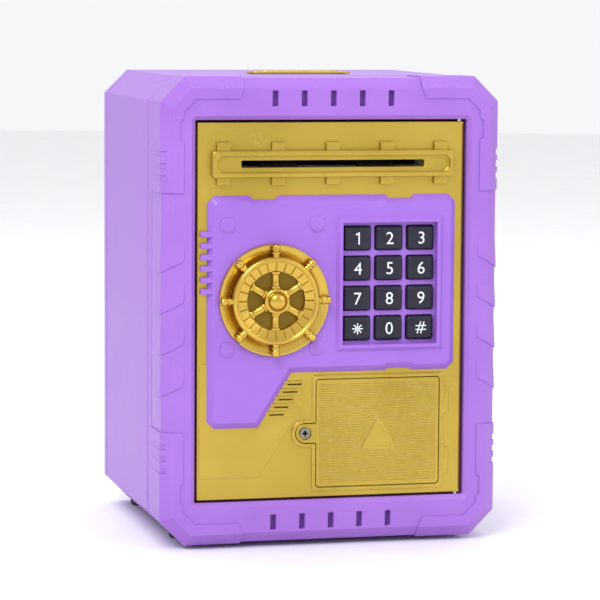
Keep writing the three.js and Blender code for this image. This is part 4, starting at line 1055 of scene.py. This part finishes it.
triangle, within = filleted(corners, 0.9, 4), filleted(grown(corners, -1.6), 0.3, 4)
lid_parts += pad(triangle, -0.25, -0.7, 0.0)
lid_parts += pad(triangle, -0.6, -1.0, 0.25, [within], 0.1)
piece("battery_lid", lid_parts, DOOR, door_gold, "battery_cover", ["battery_cover"])
lid_screw = [placed(part, LOBE[0], -0.25, LOBE[1]) for part in screw(2.3, 9)]
piece("battery_lid_screw", lid_screw, DOOR, screw_steel, "battery_cover",
      ["battery_cover_screw"])

# ---- Door back ----------------------------------------------------------------------------------
# The purple plate that closes the door's back keeps its own shape, and so do the parts in the door:
# they get materials only. Its four screws have the same cross heads as the case's.
recoat(panel_plastic, "door_back_cover")
acetal = finish("white acetal", (0.78, 0.77, 0.72), (0.70, 0.69, 0.63), (0.86, 0.85, 0.82), 0.42,
                grain=2000.0)
silicone = finish("grey silicone", (0.42, 0.42, 0.44), (0.36, 0.36, 0.38), (0.5, 0.5, 0.52), 0.65,
                  bump=0.12)
board = finish("green circuit board", (0.030, 0.170, 0.060), (0.018, 0.115, 0.042),
               (0.25, 0.36, 0.20), 0.36, grain=1400.0, bump=0.15)
cell_wrap = finish("grey cell wrap", (0.13, 0.15, 0.19), (0.09, 0.11, 0.14), (0.40, 0.42, 0.45),
                   0.3, metallic=0.3, grain=1500.0)
winding = finish("enamelled copper wire", (0.52, 0.20, 0.06), (0.42, 0.15, 0.045),
                 (0.70, 0.36, 0.15), 0.34, metallic=0.9, grain=5200.0, bump=0.35)
recoat(acetal, "note_guide", "bolt_guide", "latch_cam", "roller_gear", "motor_pinion")
recoat(steel, "note_motor", "latch_bolt", "knob_shaft", "solenoid_plunger", "battery_contacts_left",
       "battery_contacts_right")
recoat(rubber, "speaker", "drive_roller", "idler_roller")
recoat(silicone, "keypad_mat")
recoat(board, "circuit_board")
recoat(door_gold, "battery_tray")
recoat(cell_wrap, "battery_1", "battery_2", "battery_3")
recoat(winding, "solenoid_coil")
for level in ("lower", "upper"):
    for side in ("left", "right"):
        name = f"door_screw_{level}_{side}"
        low, high = (corner - DOOR for corner in node_box(name))
        x, _, z = (low + high) / 2
        parts = [placed(about_face(part), x, high[1] - 0.5, z)
                 for part in screw((high - low)[0] / 2, 8)]
        piece(name.replace("screw", "screw_head"), parts, DOOR, screw_steel, "door",
              [name])

# ---- Floor, lights and camera -------------------------------------------------------------------
# A plain pale floor, a large soft key light from the upper left, a fill from the right, a light
# from behind, and a pale world. The camera looks from a little to the door's left and above its
# middle.
FLOOR_RADIUS = 4.0  # metres, as are the places of the lights and the camera
floor_mesh = bpy.data.meshes.new("floor")
floor_ring = np.column_stack([FLOOR_RADIUS * np.cos(circle), FLOOR_RADIUS * np.sin(circle),
                              np.zeros(len(circle))])
floor_mesh.from_pydata(floor_ring.tolist(), [], [list(range(len(circle)))])
floor = bpy.data.objects.new("floor", floor_mesh)
bpy.context.scene.collection.objects.link(floor)
pale = finish("pale floor paint", (0.90, 0.90, 0.91), (0.87, 0.87, 0.88), (0.93, 0.93, 0.94), 0.6,
              grain=400.0, bump=0.02, wear_and_highlight=0.2, dusty=0.0)
floor_mesh.materials.append(pale)


def soft_light(name, place, size, watts):
    """A square area light that looks at the middle of the bank."""
    lamp = bpy.data.lights.new(name, "AREA")
    lamp.size = size
    lamp.energy = watts
    holder = bpy.data.objects.new(name, lamp)
    bpy.context.scene.collection.objects.link(holder)
    holder.location = place
    direction = Vector((0, 0, 0.1)) - holder.location
    holder.rotation_euler = direction.to_track_quat("-Z", "Y").to_euler()


soft_light("key", (-0.8, -1.2, 1.4), 0.8, 20)
soft_light("fill", (1.2, -0.9, 0.8), 1.2, 5)
soft_light("back", (0.0, 0.6, 1.6), 1.2, 8)
world = bpy.data.worlds.new("studio")
world.use_nodes = True
world.node_tree.nodes["Background"].inputs["Color"].default_value = (0.98, 0.98, 1.0, 1)
world.node_tree.nodes["Background"].inputs["Strength"].default_value = 0.95
bpy.context.scene.world = world
bpy.context.scene.view_settings.view_transform = "Standard"

EYE = (-0.33386, -1.30670, 0.23985)
YAW, PITCH, ROLL = -14.403, -5.822, 0.377  # degrees from a level view along +Y
camera_data = bpy.data.cameras.new("front view")
camera_data.sensor_width = 36
camera_data.lens = 177.994
camera_data.clip_start = 0.05
camera = bpy.data.objects.new("front view", camera_data)
bpy.context.scene.collection.objects.link(camera)
camera.matrix_world = (Matrix.Translation(EYE) @ Matrix.Rotation(math.radians(YAW), 4, "Z")
                       @ Matrix.Rotation(math.radians(90 + PITCH), 4, "X")
                       @ Matrix.Rotation(math.radians(ROLL), 4, "Z"))
bpy.context.scene.camera = camera
